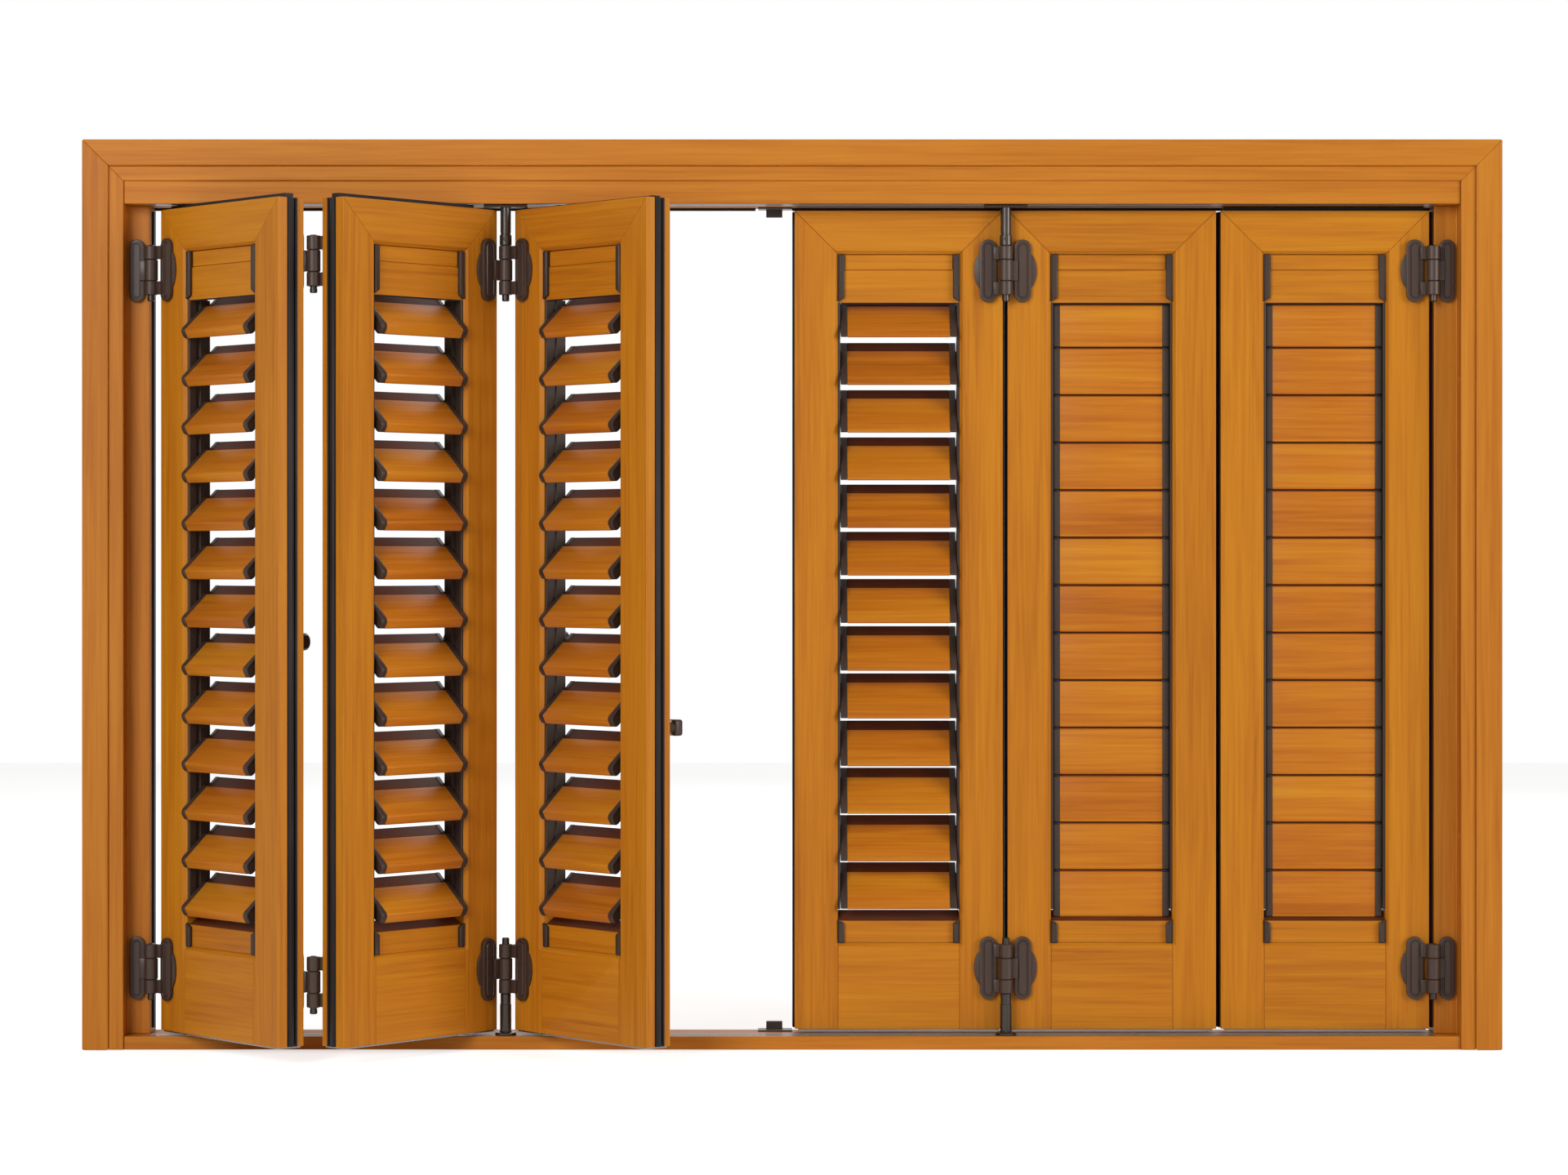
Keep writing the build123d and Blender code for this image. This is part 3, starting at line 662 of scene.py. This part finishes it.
def makeBracket(low, high, tipLow):
    size = fittingSizes
    # flat bar with a raised panel and a slanted tip towards the slats
    stile = leafSizes["stile"]
    side = stile + size["bracketWidth"]
    slant = size["slant"]
    outline = [(stile, low), (side, low + (slant if tipLow else 0)),
               (side, high - (0 if tipLow else slant)), (stile, high)]
    bracket = extrudeOutline("bracket", outline, "Y", size["bracketFront"], size["bracketBack"])
    easeEdges(bracket, size["bracketEase"], size["bracketSteps"])
    pickFaces(bracket, lambda at, normal: normal.y < -facing["square"])
    bpy.ops.mesh.inset(thickness=size["panelEdge"] * mm, depth=size["panelRise"] * mm)
    leaveEdit()
    smooth(bracket)
    return bracket


def makeKnob():
    size = fittingSizes
    # turned foot, waisted neck and a grip with flats
    foot = size["knobFoot"]
    wide = size["knobRadius"]
    grip = size["knobGrip"]
    neck = size["knobNeck"]
    bore = size["knobBore"]
    long = size["knobLength"]
    profile = [(0, wide), (foot - 1.5, wide), (foot - 0.4, wide - 1), (foot, wide - 3)]
    profile += [(foot + 2, neck), (foot + 4, neck), (foot + 6, grip - 1), (foot + 8, grip)]
    profile += [(long - 2, grip - 0.6), (long - 0.6, grip - 1.8), (long, grip - 4)]
    profile += [(long, bore), (long - 0.8, bore - 1)]
    knob = turnPiece("knob", profile, size["knobSides"])
    # finger flats: the outer grip faces are pushed in on two sides
    flatsFrom = foot + size["flatsFrom"]
    pickFaces(knob, lambda at, normal: at.z > flatsFrom and abs(normal.x) > facing["side"])
    bpy.ops.transform.resize(value=(size["flatsWidth"], 1, 1), center_override=(0, 0, 0))
    leaveEdit()
    smooth(knob)
    return knob


strip = makeStrip()
footBracket = makeBracket(openingLow / mm, openingLow / mm + fittingSizes["footBracket"], False)
headBracket = makeBracket(openingHigh / mm - leafSizes["topBoard"] - fittingSizes["headDrop"],
                          openingHigh / mm - fittingSizes["headGap"], True)
knob = makeKnob()
knobEdge = {"a": 1, "b": 1, "c": 0, "d": 1, "e": 0, "f": 0}  # 1 at the leaf's right stile
knobHeight = leafLow.z + (leafHigh.z - leafLow.z) * fittingSizes["knobShare"]
outOfBack = Matrix.Rotation(-math.pi / 2, 4, "X")
otherSide = Matrix.Translation((leafWidth, 0, 0)) @ mirrorX
for piece in (strip, footBracket, headBracket, knob):
    piece.data.materials.append(capNylon)

halfStile = leafSizes["stile"] / 2 * mm
for key, place in leafPlace.items():
    knobX = halfStile + knobEdge[key] * (leafWidth - 2 * halfStile)
    knobPlace = Matrix.Translation((knobX, leafThick, knobHeight)) @ outOfBack
    guides = [copyPiece(piece, "guide", place @ side) for piece in (strip, footBracket, headBracket)
              for side in (atOrigin, otherSide)]
    turner = copyPiece(knob, f"tiltKnob{key.upper()}", place @ knobPlace)
    if key == "d":
        mount(joinPieces("slatCarriersD", guides), "leaf_d", "brown_plastic", "leaf_d_slat_carriers")
        mount(turner, "leaf_d_tilt_knob", "brown_plastic", "leaf_d_tilt_knob")
        for number, z in enumerate(pivotHeights, 1):
            seat = slatSeat(key, z)
            kind = slatKind(key, number)
            parts = [bladeCopy(blades[kind], "slat", seat, slatWood[key])]
            parts += [copyPiece(end, "end", seat) for end in caps[kind]]
            body = f"leaf_d_slat_{number:02d}"
            mount(joinPieces(f"slatD{number:02d}", parts), body, "slat_wood", body)
        continue
    rows = [(slatKind(key, number), slatSeat(key, z)) for number, z in enumerate(pivotHeights, 1)]
    boards = [bladeCopy(blades[kind], "slat", seat, slatWood[key]) for kind, seat in rows]
    covers = [copyPiece(end, "end", seat) for kind, seat in rows for end in caps[kind]]
    mount(joinPieces(f"slats{key.upper()}", boards), f"leaf_{key}", "slat_wood", f"leaf_{key}_slats")
    fittings = joinPieces(f"slatFittings{key.upper()}", covers + guides + [turner])
    mount(fittings, f"leaf_{key}", "brown_plastic", f"leaf_{key}_slat_fittings")
dropPieces(strip, footBracket, headBracket, knob, *blades.values())
dropPieces(*[end for pair in caps.values() for end in pair])
print("slats and fittings placed")


# edge gaskets: a broad lobe and a narrow lip with a groove between, and seals on head and foot
gasketSizes = {
    "front": 13, "back": 26, "deep": 6, "seatGap": 0.2, "proud": 2.9, "lobe": 8.2, "groove": 1.6,
    "grooveDeep": 3.0, "inset": 0.3, "endGap": 0.3, "ease": 0.3, "smoothAngle": 50,
    # steps of the lobe's round sides, each the way in from the crest and the way along the leaf's thickness
    "foot": 0.6, "lobeRise": ((1.0, 0.9), (0.3, 2.6)), "lobeFall": ((0.3, 1.4), (1.2, 0)),
    "lipRound": 0.6, "lipCrest": 1.2, "jambRound": 0.9,
    "sealWidth": 12, "sealEnds": 4, "sealEase": 0.4, "tallSeal": 5.2, "lowSeal": 2.3, "pinRoom": 24,
    "footSeal": 2, "footWidth": 33,
}


gasketFront = gasketSizes["front"] + gasketSizes["inset"]
gasketBack = gasketSizes["back"] - gasketSizes["inset"]


def makeGasket():
    size = gasketSizes
    deep = size["deep"] - size["seatGap"]
    crest = -size["proud"]
    floor = size["grooveDeep"]
    lobe = gasketFront + size["lobe"]
    lip = lobe + size["groove"]
    lipEdge = crest + size["lipRound"]
    outline = [(deep, gasketFront), (size["foot"], gasketFront)]
    outline += [(crest + inward, gasketFront + along) for inward, along in size["lobeRise"]]
    outline += [(crest + inward, lobe - along) for inward, along in size["lobeFall"]]
    outline += [(floor, lobe), (floor, lip), (lipEdge, lip), (crest, lip + size["lipCrest"])]
    outline += [(lipEdge, gasketBack), (deep, gasketBack)]
    gap = size["endGap"]
    gasket = extrudeOutline("gasket", outline, "Z", leafLow.z / mm + gap, leafHigh.z / mm - gap)
    easeEdges(gasket, size["ease"], 1, size["smoothAngle"])
    smooth(gasket, size["smoothAngle"])
    return gasket


def makeSeal(low, high, width, shortBy=0):
    middle = leafThick / mm / 2
    seal = startBlock("seal", (gasketSizes["sealEnds"], middle - width / 2, low),
                      (leafWidth / mm - gasketSizes["sealEnds"] - shortBy, middle + width / 2, high))
    easeEdges(seal, gasketSizes["sealEase"])
    return seal


def makeHeadSeal(height, shortBy=0):
    seal = makeSeal(leafHigh.z / mm, leafHigh.z / mm + height, gasketSizes["sealWidth"], shortBy)
    seal.data.materials.append(sealRubber)
    return seal


def makeJambSeals():
    # flat strips on the jambs that the gaskets of the outer leaves close against
    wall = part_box("left_jamb")[1].x / mm
    face = wall + gasketSizes["proud"]
    bevel = gasketSizes["jambRound"]
    outline = [(wall, gasketFront), (face - bevel, gasketFront), (face, gasketFront + bevel),
               (face, gasketBack - bevel), (face - bevel, gasketBack), (wall, gasketBack)]
    strip = extrudeOutline("jambSeal", outline, "Z", leafLow.z / mm, leafHigh.z / mm)
    easeEdges(strip, gasketSizes["ease"], 1)
    strip.data.materials.append(sealRubber)
    return joinPieces("jambSeals", [strip, copyPiece(strip, "jambSeal", mirrorX)])


mount(makeJambSeals(), "frame", "seal_rubber")
gasket = makeGasket()
# the head seal is low on the leaves that pass under the sliders, and short at the pin of leaf B
tallSeal = makeHeadSeal(gasketSizes["tallSeal"])
shortSeal = makeHeadSeal(gasketSizes["tallSeal"], gasketSizes["pinRoom"])
lowSeal = makeHeadSeal(gasketSizes["lowSeal"])
headSeals = {"a": tallSeal, "b": shortSeal, "c": lowSeal, "d": lowSeal, "e": lowSeal, "f": tallSeal}
footSeal = makeSeal(leafLow.z / mm - gasketSizes["footSeal"], leafLow.z / mm, gasketSizes["footWidth"])
footSeal.data.materials.append(trackMetal)
gasket.data.materials.append(sealRubber)
for key, place in leafPlace.items():
    seals = [copyPiece(gasket, "seal", place), copyPiece(gasket, "seal", place @ otherSide),
             copyPiece(headSeals[key], "seal", place), copyPiece(footSeal, "seal", place)]
    mount(joinPieces(f"gaskets{key.upper()}", seals), f"leaf_{key}", "seal_rubber", f"leaf_{key}_gaskets")
dropPieces(gasket, tallSeal, shortSeal, lowSeal, footSeal)
print("gaskets placed")


# hinges, drawn round a pin at the origin with the leaf face at Y = pinOff
hingeSizes = {
    "wingHeight": 77, "inner": 10.5, "outer": 31.5, "wingThick": 6, "wingEase": 0.9, "easeAngle": 40,
    "ribSteps": ((2.6, 0), (0.7, -1.0), (1.2, 0), (0.8, 1.4)),  # insets and rises from the edge to the rib
    "bulge": 38.5, "bulgeHeight": 48, "earOverlap": 6, "plate": 3,
    "barrel": 8.25, "bore": 4.55, "barrelHeight": 60, "middle": 26, "knuckleGap": 0.4, "knuckleEdge": 0.8,
    "boreDeep": 1, "boreTaper": 0.1, "barrelSides": 32,
    "armStart": 3, "armEnd": 15, "armOverlap": 3, "armDepth": 9.5, "armGap": 0.4, "armSeat": 0.2, "armEase": 1.2,
    "pin": 4.5, "tip": 8, "tipEdge": 1, "clipFrom": 1.5, "clipTo": 2.5, "clipSlope": 0.1, "clipDeep": 0.7,
    "pinRise": 0.2, "pinTop": 1.0, "pinTopEdge": 1.2, "jambInner": 9, "jambOuter": 28,
}
wingLow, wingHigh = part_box("jamb_hinge_plates")
wingHalf = hingeSizes["wingHeight"] / 2
hingeHeights = (wingHigh.z - wingHalf * mm, wingLow.z + wingHalf * mm)


def stadium(low, high, half, steps=8):
    # upright outline with round ends
    radius = (high - low) / 2
    middle = (low + high) / 2
    arc = [math.pi * step / steps for step in range(steps + 1)]
    top = [(middle + radius * math.cos(a), half - radius + radius * math.sin(a)) for a in arc]
    return top + [(2 * middle - x, -z) for x, z in top]


def earOutline(low, high, half, steps=12):
    # plate whose far side swells out in an arc
    swell = [math.pi * (step / steps - 0.5) for step in range(steps + 1)]
    arc = [(low + (high - low) * math.cos(a), half * math.sin(a)) for a in swell[1:-1]]
    return [(low, half), (low, -half)] + arc


def makeWing(inner, outer, bulge, carriesMiddle):
    size = hingeSizes
    face = pinOff / mm
    parts = []
    body = extrudeOutline("body", stadium(inner, outer, wingHalf), "Y", face - size["wingThick"], face)
    easeEdges(body, size["wingEase"], angle=size["easeAngle"])
    pickFaces(body, lambda at, normal: normal.y < -facing["square"])  # sunk band and the raised rib inside it
    for thickness, depth in size["ribSteps"]:
        bpy.ops.mesh.inset(thickness=thickness * mm, depth=depth * mm)
    leaveEdit()
    parts.append(body)
    if bulge:
        outline = earOutline(outer - size["earOverlap"], bulge, size["bulgeHeight"] / 2)
        ear = extrudeOutline("ear", outline, "Y", face - size["plate"], face)
        easeEdges(ear, size["wingEase"], angle=size["easeAngle"])
        parts.append(ear)
    gap = size["knuckleGap"]
    end = size["barrelHeight"] / 2
    middle = (size["middle"] - gap) / 2
    spans = [(-middle, middle)] if carriesMiddle else [(middle + gap, end), (-end, -middle - gap)]
    barrel = size["barrel"]
    bore = size["bore"]
    edge = size["knuckleEdge"]
    armGap = size["armGap"]
    armEnd = max(size["armEnd"], inner + size["armOverlap"])
    for low, high in spans:
        parts.append(turnPiece("knuckle", [
            (low, barrel - edge), (low + edge, barrel), (high - edge, barrel), (high, barrel - edge),
            (high, bore), (high - size["boreDeep"], bore - size["boreTaper"])],
            size["barrelSides"]))
        arm = startBlock("arm", (size["armStart"], face - size["armDepth"], low + armGap),
                         (armEnd, face - size["armSeat"], high - armGap))
        easeEdges(arm, size["armEase"])
        parts.append(arm)
    wing = joinPieces("wing", parts)
    smooth(wing)
    wing.data.materials.append(hingeCoat)
    return wing


def makePin():
    size = hingeSizes
    end = size["barrelHeight"] / 2
    pin = size["pin"]
    tip = end + size["tip"]
    edge = size["tipEdge"]
    slope = size["clipSlope"]
    clip = pin - size["clipDeep"]
    clipLow = -end - size["clipTo"]
    clipHigh = -end - size["clipFrom"]
    shape = turnPiece("pin", [
        (-tip, pin - edge), (-tip + edge, pin),
        (clipLow, pin), (clipLow + slope, clip), (clipHigh - slope, clip), (clipHigh, pin),
        (end + size["pinRise"], pin), (end + size["pinTop"], pin - size["pinTopEdge"])])
    smooth(shape)
    shape.data.materials.append(rodSteel)
    return shape


wings = {middle: makeWing(hingeSizes["inner"], hingeSizes["outer"], hingeSizes["bulge"], middle)
         for middle in (True, False)}
jambWing = makeWing(hingeSizes["jambInner"], hingeSizes["jambOuter"], 0, True)
hingePin = makePin()

leafHinges = {  # edge, face, and whether this leaf carries the middle knuckle
    "a": [("left", "front", False), ("right", "back", True)],
    "b": [("left", "back", False), ("right", "front", True)],
    "c": [("left", "front", False)],
    "d": [("right", "front", False)],
    "e": [("right", "back", False), ("left", "front", True)],
    "f": [("right", "front", False), ("left", "back", True)],
}
pinLeaf = {"a": leafWidth + pinAway, "f": -pinAway}  # the leaves that hold the pins of the back hinges


def wingPlace(edge, face, z):
    x = -pinAway if edge == "left" else leafWidth + pinAway
    y = -pinOff if face == "front" else leafThick + pinOff
    place = Matrix.Translation((x, y, z))
    if edge == "right":
        place = place @ mirrorX
    if face == "back":
        place = place @ mirrorY
    return place


for key, edges in leafHinges.items():
    plates = [copyPiece(wings[middle], "plate", leafPlace[key] @ wingPlace(edge, face, z))
              for edge, face, middle in edges for z in hingeHeights]
    if key in pinLeaf:
        pinSeats = [Matrix.Translation((pinLeaf[key], leafThick + pinOff, z)) for z in hingeHeights]
        plates += [copyPiece(hingePin, "pin", leafPlace[key] @ seat) for seat in pinSeats]
    joined = joinPieces(f"hingePlates{key.upper()}", plates)
    mount(joined, f"leaf_{key}", "brown_metal", f"leaf_{key}_hinge_plates")

jambPlates = []
jambPins = []
for pinName, turn in (("left_fold", mirrorX), ("right_fold", atOrigin)):
    for z in hingeHeights:
        at = Matrix.Translation((jointAt[pinName].x, jointAt[pinName].y, z))
        jambPlates.append(copyPiece(jambWing, "plate", at @ turn))
        jambPins.append(copyPiece(hingePin, "pin", at))
mount(joinPieces("jambHingePlates", jambPlates), "frame", "brown_metal", "jamb_hinge_plates")
mount(joinPieces("jambHingePins", jambPins), "frame", "brown_metal", "jamb_hinge_pins")
dropPieces(jambWing, hingePin, *wings.values())
print("hinges placed")


# carriers: lengthened pins of the front hinges, slider in the head track, foot on the floor track
carrierSizes = {
    "rod": 6.5, "lowerRod": 7.0, "collar": 7.4, "collarHeight": 13, "edge": 0.6, "sides": 32,
    "clipFrom": 1.5, "clipTo": 2.7, "clipSlope": 0.1, "clipDeep": 0.6,
    "slider": (53, 16, 3), "sliderGap": 0.5, "sliderEase": 0.8,
    "neck": (20, 7), "neckEase": 0.4, "runner": (40, 16, 6), "runnerLift": 2.5, "runnerEase": 1.5,
    "grub": ((0, 2.6), (0.5, 2.6), (0.7, 2.3), (0.7, 1.4), (-0.4, 1.2)),  # height and radius of each step
    "grubSides": 16, "grubSunk": 0.35, "grubDrop": 5,
    "flange": 13, "flangeThick": 3.2, "flangeGap": 0.3, "flangeEdge": 0.5, "flangeFall": 0.8, "flangeIn": 1.2,
    "flare": 1.6, "sleeveIn": 1, "sleeveSlope": 0.1, "guide": 3, "guideTip": 2.4, "guideDeep": 7,
}
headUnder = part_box("head_track")[0].z / mm
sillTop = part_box("threshold")[1].z / mm


def carrierUpperRod(upper, plateLow, collarTop):
    size = carrierSizes
    end = hingeSizes["barrelHeight"] / 2
    pin = hingeSizes["pin"]
    rod = size["rod"]
    collar = size["collar"]
    edge = size["edge"]
    tip = upper - end - hingeSizes["tip"]
    tipEdge = hingeSizes["tipEdge"]
    collarLow = upper + end + hingeSizes["knuckleGap"]
    clip = rod - size["clipDeep"]
    clipLow = collarTop + size["clipFrom"]
    clipHigh = collarTop + size["clipTo"]
    slope = size["clipSlope"]
    return turnPiece("rodUp", [
        (tip, pin - tipEdge), (tip + tipEdge, pin), (collarLow, pin),
        (collarLow, collar - edge), (collarLow + edge, collar),
        (collarTop - edge, collar), (collarTop, collar - edge), (collarTop, rod),
        (clipLow, rod), (clipLow + slope, clip), (clipHigh - slope, clip), (clipHigh, rod),
        (plateLow, rod)], size["sides"])


def carrierLowerRod(lower):
    size = carrierSizes
    end = hingeSizes["barrelHeight"] / 2
    pin = hingeSizes["pin"]
    rod = size["lowerRod"]
    edge = size["edge"]
    guide = size["guide"]
    guideLow = sillTop - size["guideDeep"]
    wide = size["flange"]
    flangeLow = sillTop + size["flangeGap"]
    flangeTop = flangeLow + size["flangeThick"]
    flangeEdge = size["flangeEdge"]
    flare = size["flare"]
    sleeve = size["collar"] - size["sleeveIn"]
    sleeveLow = lower - end - size["collarHeight"]
    sleeveTop = lower - end - hingeSizes["knuckleGap"]
    tip = lower + end + hingeSizes["tip"]
    tipEdge = hingeSizes["tipEdge"]
    return turnPiece("rodDown", [
        (guideLow, size["guideTip"]), (guideLow + edge, guide), (flangeLow, guide),
        (flangeLow, wide - flangeEdge), (flangeLow + flangeEdge, wide),
        (flangeTop - size["flangeFall"], wide), (flangeTop, wide - size["flangeIn"]),
        (flangeTop, rod + flare), (flangeTop + flare, rod),
        (sleeveLow - edge, rod), (sleeveLow, rod - edge), (sleeveLow + size["sleeveSlope"], sleeve),
        (sleeveTop - edge, sleeve), (sleeveTop, sleeve - edge), (sleeveTop, pin),
        (tip - tipEdge, pin), (tip, pin - tipEdge)], size["sides"])


def carrierBlock(name, length, width, low, high, ease, segments=2):
    block = startBlock(name, (-length / 2, -width / 2, low), (length / 2, width / 2, high))
    easeEdges(block, ease, segments)
    return block


def makeCarrier():
    size = carrierSizes
    upper, lower = [z / mm for z in hingeHeights]
    length, width, thick = size["slider"]
    plateTop = headUnder - size["sliderGap"]
    plateLow = plateTop - thick
    collarTop = upper + hingeSizes["barrelHeight"] / 2 + size["collarHeight"]
    rodUp = carrierUpperRod(upper, plateLow, collarTop)
    slider = carrierBlock("slider", length, width, plateLow, plateTop, size["sliderEase"])
    runLength, runWidth, runHeight = size["runner"]
    runLow = headUnder + size["runnerLift"]
    neck = carrierBlock("neck", *size["neck"], plateTop, runLow, size["neckEase"], 1)
    runner = carrierBlock("runner", runLength, runWidth, runLow, runLow + runHeight, size["runnerEase"])
    grub = turnPiece("grub", size["grub"], size["grubSides"])
    grubFace = size["collar"] - size["grubSunk"]
    grubHeight = collarTop - size["grubDrop"]
    grub.data.transform(Matrix.Translation((0, -grubFace * mm, grubHeight * mm))
                        @ Matrix.Rotation(math.pi / 2, 4, "X"))
    rodDown = carrierLowerRod(lower)
    for piece in (slider, neck, runner):
        piece.data.materials.append(capNylon)
    for piece in (rodUp, rodDown):
        smooth(piece)
        piece.data.materials.append(rodSteel)
    grub.data.materials.append(hingeCoat)
    return joinPieces("carrier", [rodUp, rodDown, slider, neck, runner, grub])


carrier = makeCarrier()
for pinName, body in (("left_leaf_swing", "left_carrier"), ("right_leaf_swing", "right_carrier")):
    at = Matrix.Translation((jointAt[pinName].x, jointAt[pinName].y, 0))
    mount(copyPiece(carrier, body.replace("_c", "C"), at), body, "brown_metal", body)
dropPieces(carrier)
print("carriers placed")


# handle on the room side of leaf C: rounded rose, flared neck and a flat lever
handleSizes = {
    "share": 0.374, "baseHeight": 46, "baseWidth": 26, "baseThick": 8, "baseArc": 10, "baseEase": 1.6,
    "baseSteps": 3, "easeAngle": 40, "panelEdge": 2.0, "panelRise": 0.8, "gap": 0.3, "bossLength": 26,
    "boss": ((0, 10.6), (1.2, 10.2), (3, 9), (24, 8.6)), "bossSides": 32,  # height and radius of each step
    "lever": 84, "leverHeight": 20, "leverThick": 13, "tipDepth": 0.8, "tipHeight": 0.78, "tipSeat": 7,
    "leverEase": 3.4, "leverSteps": 4,
}


def makeHandle():
    size = handleSizes
    half = size["baseWidth"] / 2
    thick = size["baseThick"]
    shape = stadium(-half, half, size["baseHeight"] / 2, size["baseArc"])
    rose = extrudeOutline("rose", shape, "Y", 0, thick)
    easeEdges(rose, size["baseEase"], size["baseSteps"], size["easeAngle"])
    pickFaces(rose, lambda at, normal: normal.y > facing["square"])
    bpy.ops.mesh.inset(thickness=size["panelEdge"] * mm, depth=size["panelRise"] * mm)
    leaveEdit()
    smooth(rose)
    seat = thick + size["gap"]
    end = seat + size["bossLength"]
    boss = [(seat + height, radius) for height, radius in size["boss"]]
    neck = turnPiece("neck", boss, size["bossSides"])
    neck.data.transform(Matrix.Rotation(-math.pi / 2, 4, "X"))
    halfLever = size["leverHeight"] / 2
    reach = halfLever - size["lever"]
    lever = startBlock("lever", (reach, end - size["leverThick"], -halfLever), (halfLever, end, halfLever))
    pickFaces(lever, lambda at, normal: normal.x < -facing["end"])  # the grip narrows towards its end
    bpy.ops.transform.resize(value=(1, size["tipDepth"], size["tipHeight"]),
                             center_override=(reach * mm, (end - size["tipSeat"]) * mm, 0))
    leaveEdit()
    easeEdges(lever, size["leverEase"], size["leverSteps"])
    grip = joinPieces("grip", [lever, neck])
    smooth(grip)
    for piece in (rose, grip):
        piece.data.materials.append(hingeCoat)
    return rose, grip


rose, grip = makeHandle()
handlePlace = leafPlace["c"] @ Matrix.Translation((
    leafWidth - halfStile, leafThick,
    leafLow.z + (leafHigh.z - leafLow.z) * handleSizes["share"]))
mount(copyPiece(rose, "handleRose", handlePlace), "leaf_c", "brown_metal", "handle_base")
mount(copyPiece(grip, "handleGrip", handlePlace), "handle_grip", "brown_metal", "handle_grip")
dropPieces(rose, grip)
print("handle placed")


# pale floor, white surroundings, soft light from both sides in front and from behind, camera square to the frame
stageLook = {"floor": 14, "floorDrop": 1, "floorColour": "#F4F3F1", "floorRoughness": 0.9, "floorGlow": 0.62,
             "worldLight": 0.25, "worldSeen": 1.0}
# pixels of the photograph: the frame's middle and the picture's, the horizon, and the threshold's underside
cameraLook = {"photoWidth": 1920, "mmPerPixel": 1.0, "distance": 5.0, "sensor": 36,
              "centrePixel": 970, "middlePixel": 960, "horizonPixel": 685, "middleRow": 719.5, "sillPixel": 1282}
lampLook = {
    "key": {"at": (-2.4, -4.6, 2.4), "size": 2.2, "power": 150},
    "fill": {"at": (6.0, -3.8, 2.0), "size": 2.6, "power": 235},
    "back": {"at": (1.0, 4.2, 3.0), "size": 3.0, "power": 45},
}


def seenDirectly(tree):
    # 1 where the eye meets the surface itself, in a reflection or through glass
    path = addNode(tree, "ShaderNodeLightPath")
    seen = path.outputs["Is Camera Ray"]
    for ray in ("Is Glossy Ray", "Is Transmission Ray"):
        seen = addNode(tree, "ShaderNodeMath", {0: seen, 1: path.outputs[ray]}, operation="MAXIMUM").outputs[0]
    return seen


def makeFloor():
    bpy.ops.object.select_all(action="DESELECT")
    bpy.ops.mesh.primitive_plane_add(size=stageLook["floor"], location=(0, 0, -stageLook["floorDrop"] * mm))
    floor = bpy.context.object
    floor.name = "floor"
    material, tree, shader = startMaterial("pale floor")
    shader.inputs["Base Color"].default_value = hexColour(stageLook["floorColour"])
    shader.inputs["Roughness"].default_value = stageLook["floorRoughness"]
    shader.inputs["Emission Color"].default_value = (1, 1, 1, 1)
    glow = addNode(tree, "ShaderNodeMath", {
        0: seenDirectly(tree), 1: stageLook["floorGlow"]}, operation="MULTIPLY")
    tree.links.new(glow.outputs[0], shader.inputs["Emission Strength"])
    floor.data.materials.append(material)


def makeWorld():
    world = bpy.data.worlds.new("white surroundings")
    bpy.context.scene.world = world
    world.use_nodes = True
    tree = world.node_tree
    strength = addNode(tree, "ShaderNodeMapRange", {
        "Value": seenDirectly(tree), "To Min": stageLook["worldLight"], "To Max": stageLook["worldSeen"]})
    tree.nodes["Background"].inputs["Color"].default_value = (1, 1, 1, 1)
    tree.links.new(strength.outputs[0], tree.nodes["Background"].inputs["Strength"])


def makeLamps():
    target = (cadBox[0] + cadBox[1]) / 2
    for name, look in lampLook.items():
        bpy.ops.object.select_all(action="DESELECT")
        bpy.ops.object.light_add(type="AREA", location=look["at"])
        lamp = bpy.context.object
        lamp.name = name
        lamp.data.size = look["size"]
        lamp.data.energy = look["power"]
        lamp.rotation_euler = (target - Vector(look["at"])).to_track_quat("-Z", "Y").to_euler()


def makeCamera():
    look = cameraLook
    bpy.ops.object.select_all(action="DESELECT")
    bpy.ops.object.camera_add(
        location=((look["middlePixel"] - look["centrePixel"]) * mm, -look["distance"],
                  (look["sillPixel"] - look["horizonPixel"]) * mm),
        rotation=(math.pi / 2, 0, 0))
    camera = bpy.context.object
    camera.data.sensor_width = look["sensor"]
    camera.data.lens = look["sensor"] * look["distance"] / (look["photoWidth"] * look["mmPerPixel"] * mm)
    camera.data.shift_y = (look["horizonPixel"] - look["middleRow"]) / look["photoWidth"]
    bpy.context.scene.camera = camera


makeFloor()
makeWorld()
makeLamps()
makeCamera()
bpy.context.scene.view_settings.view_transform = "Standard"
print("stage, lamps and camera set")
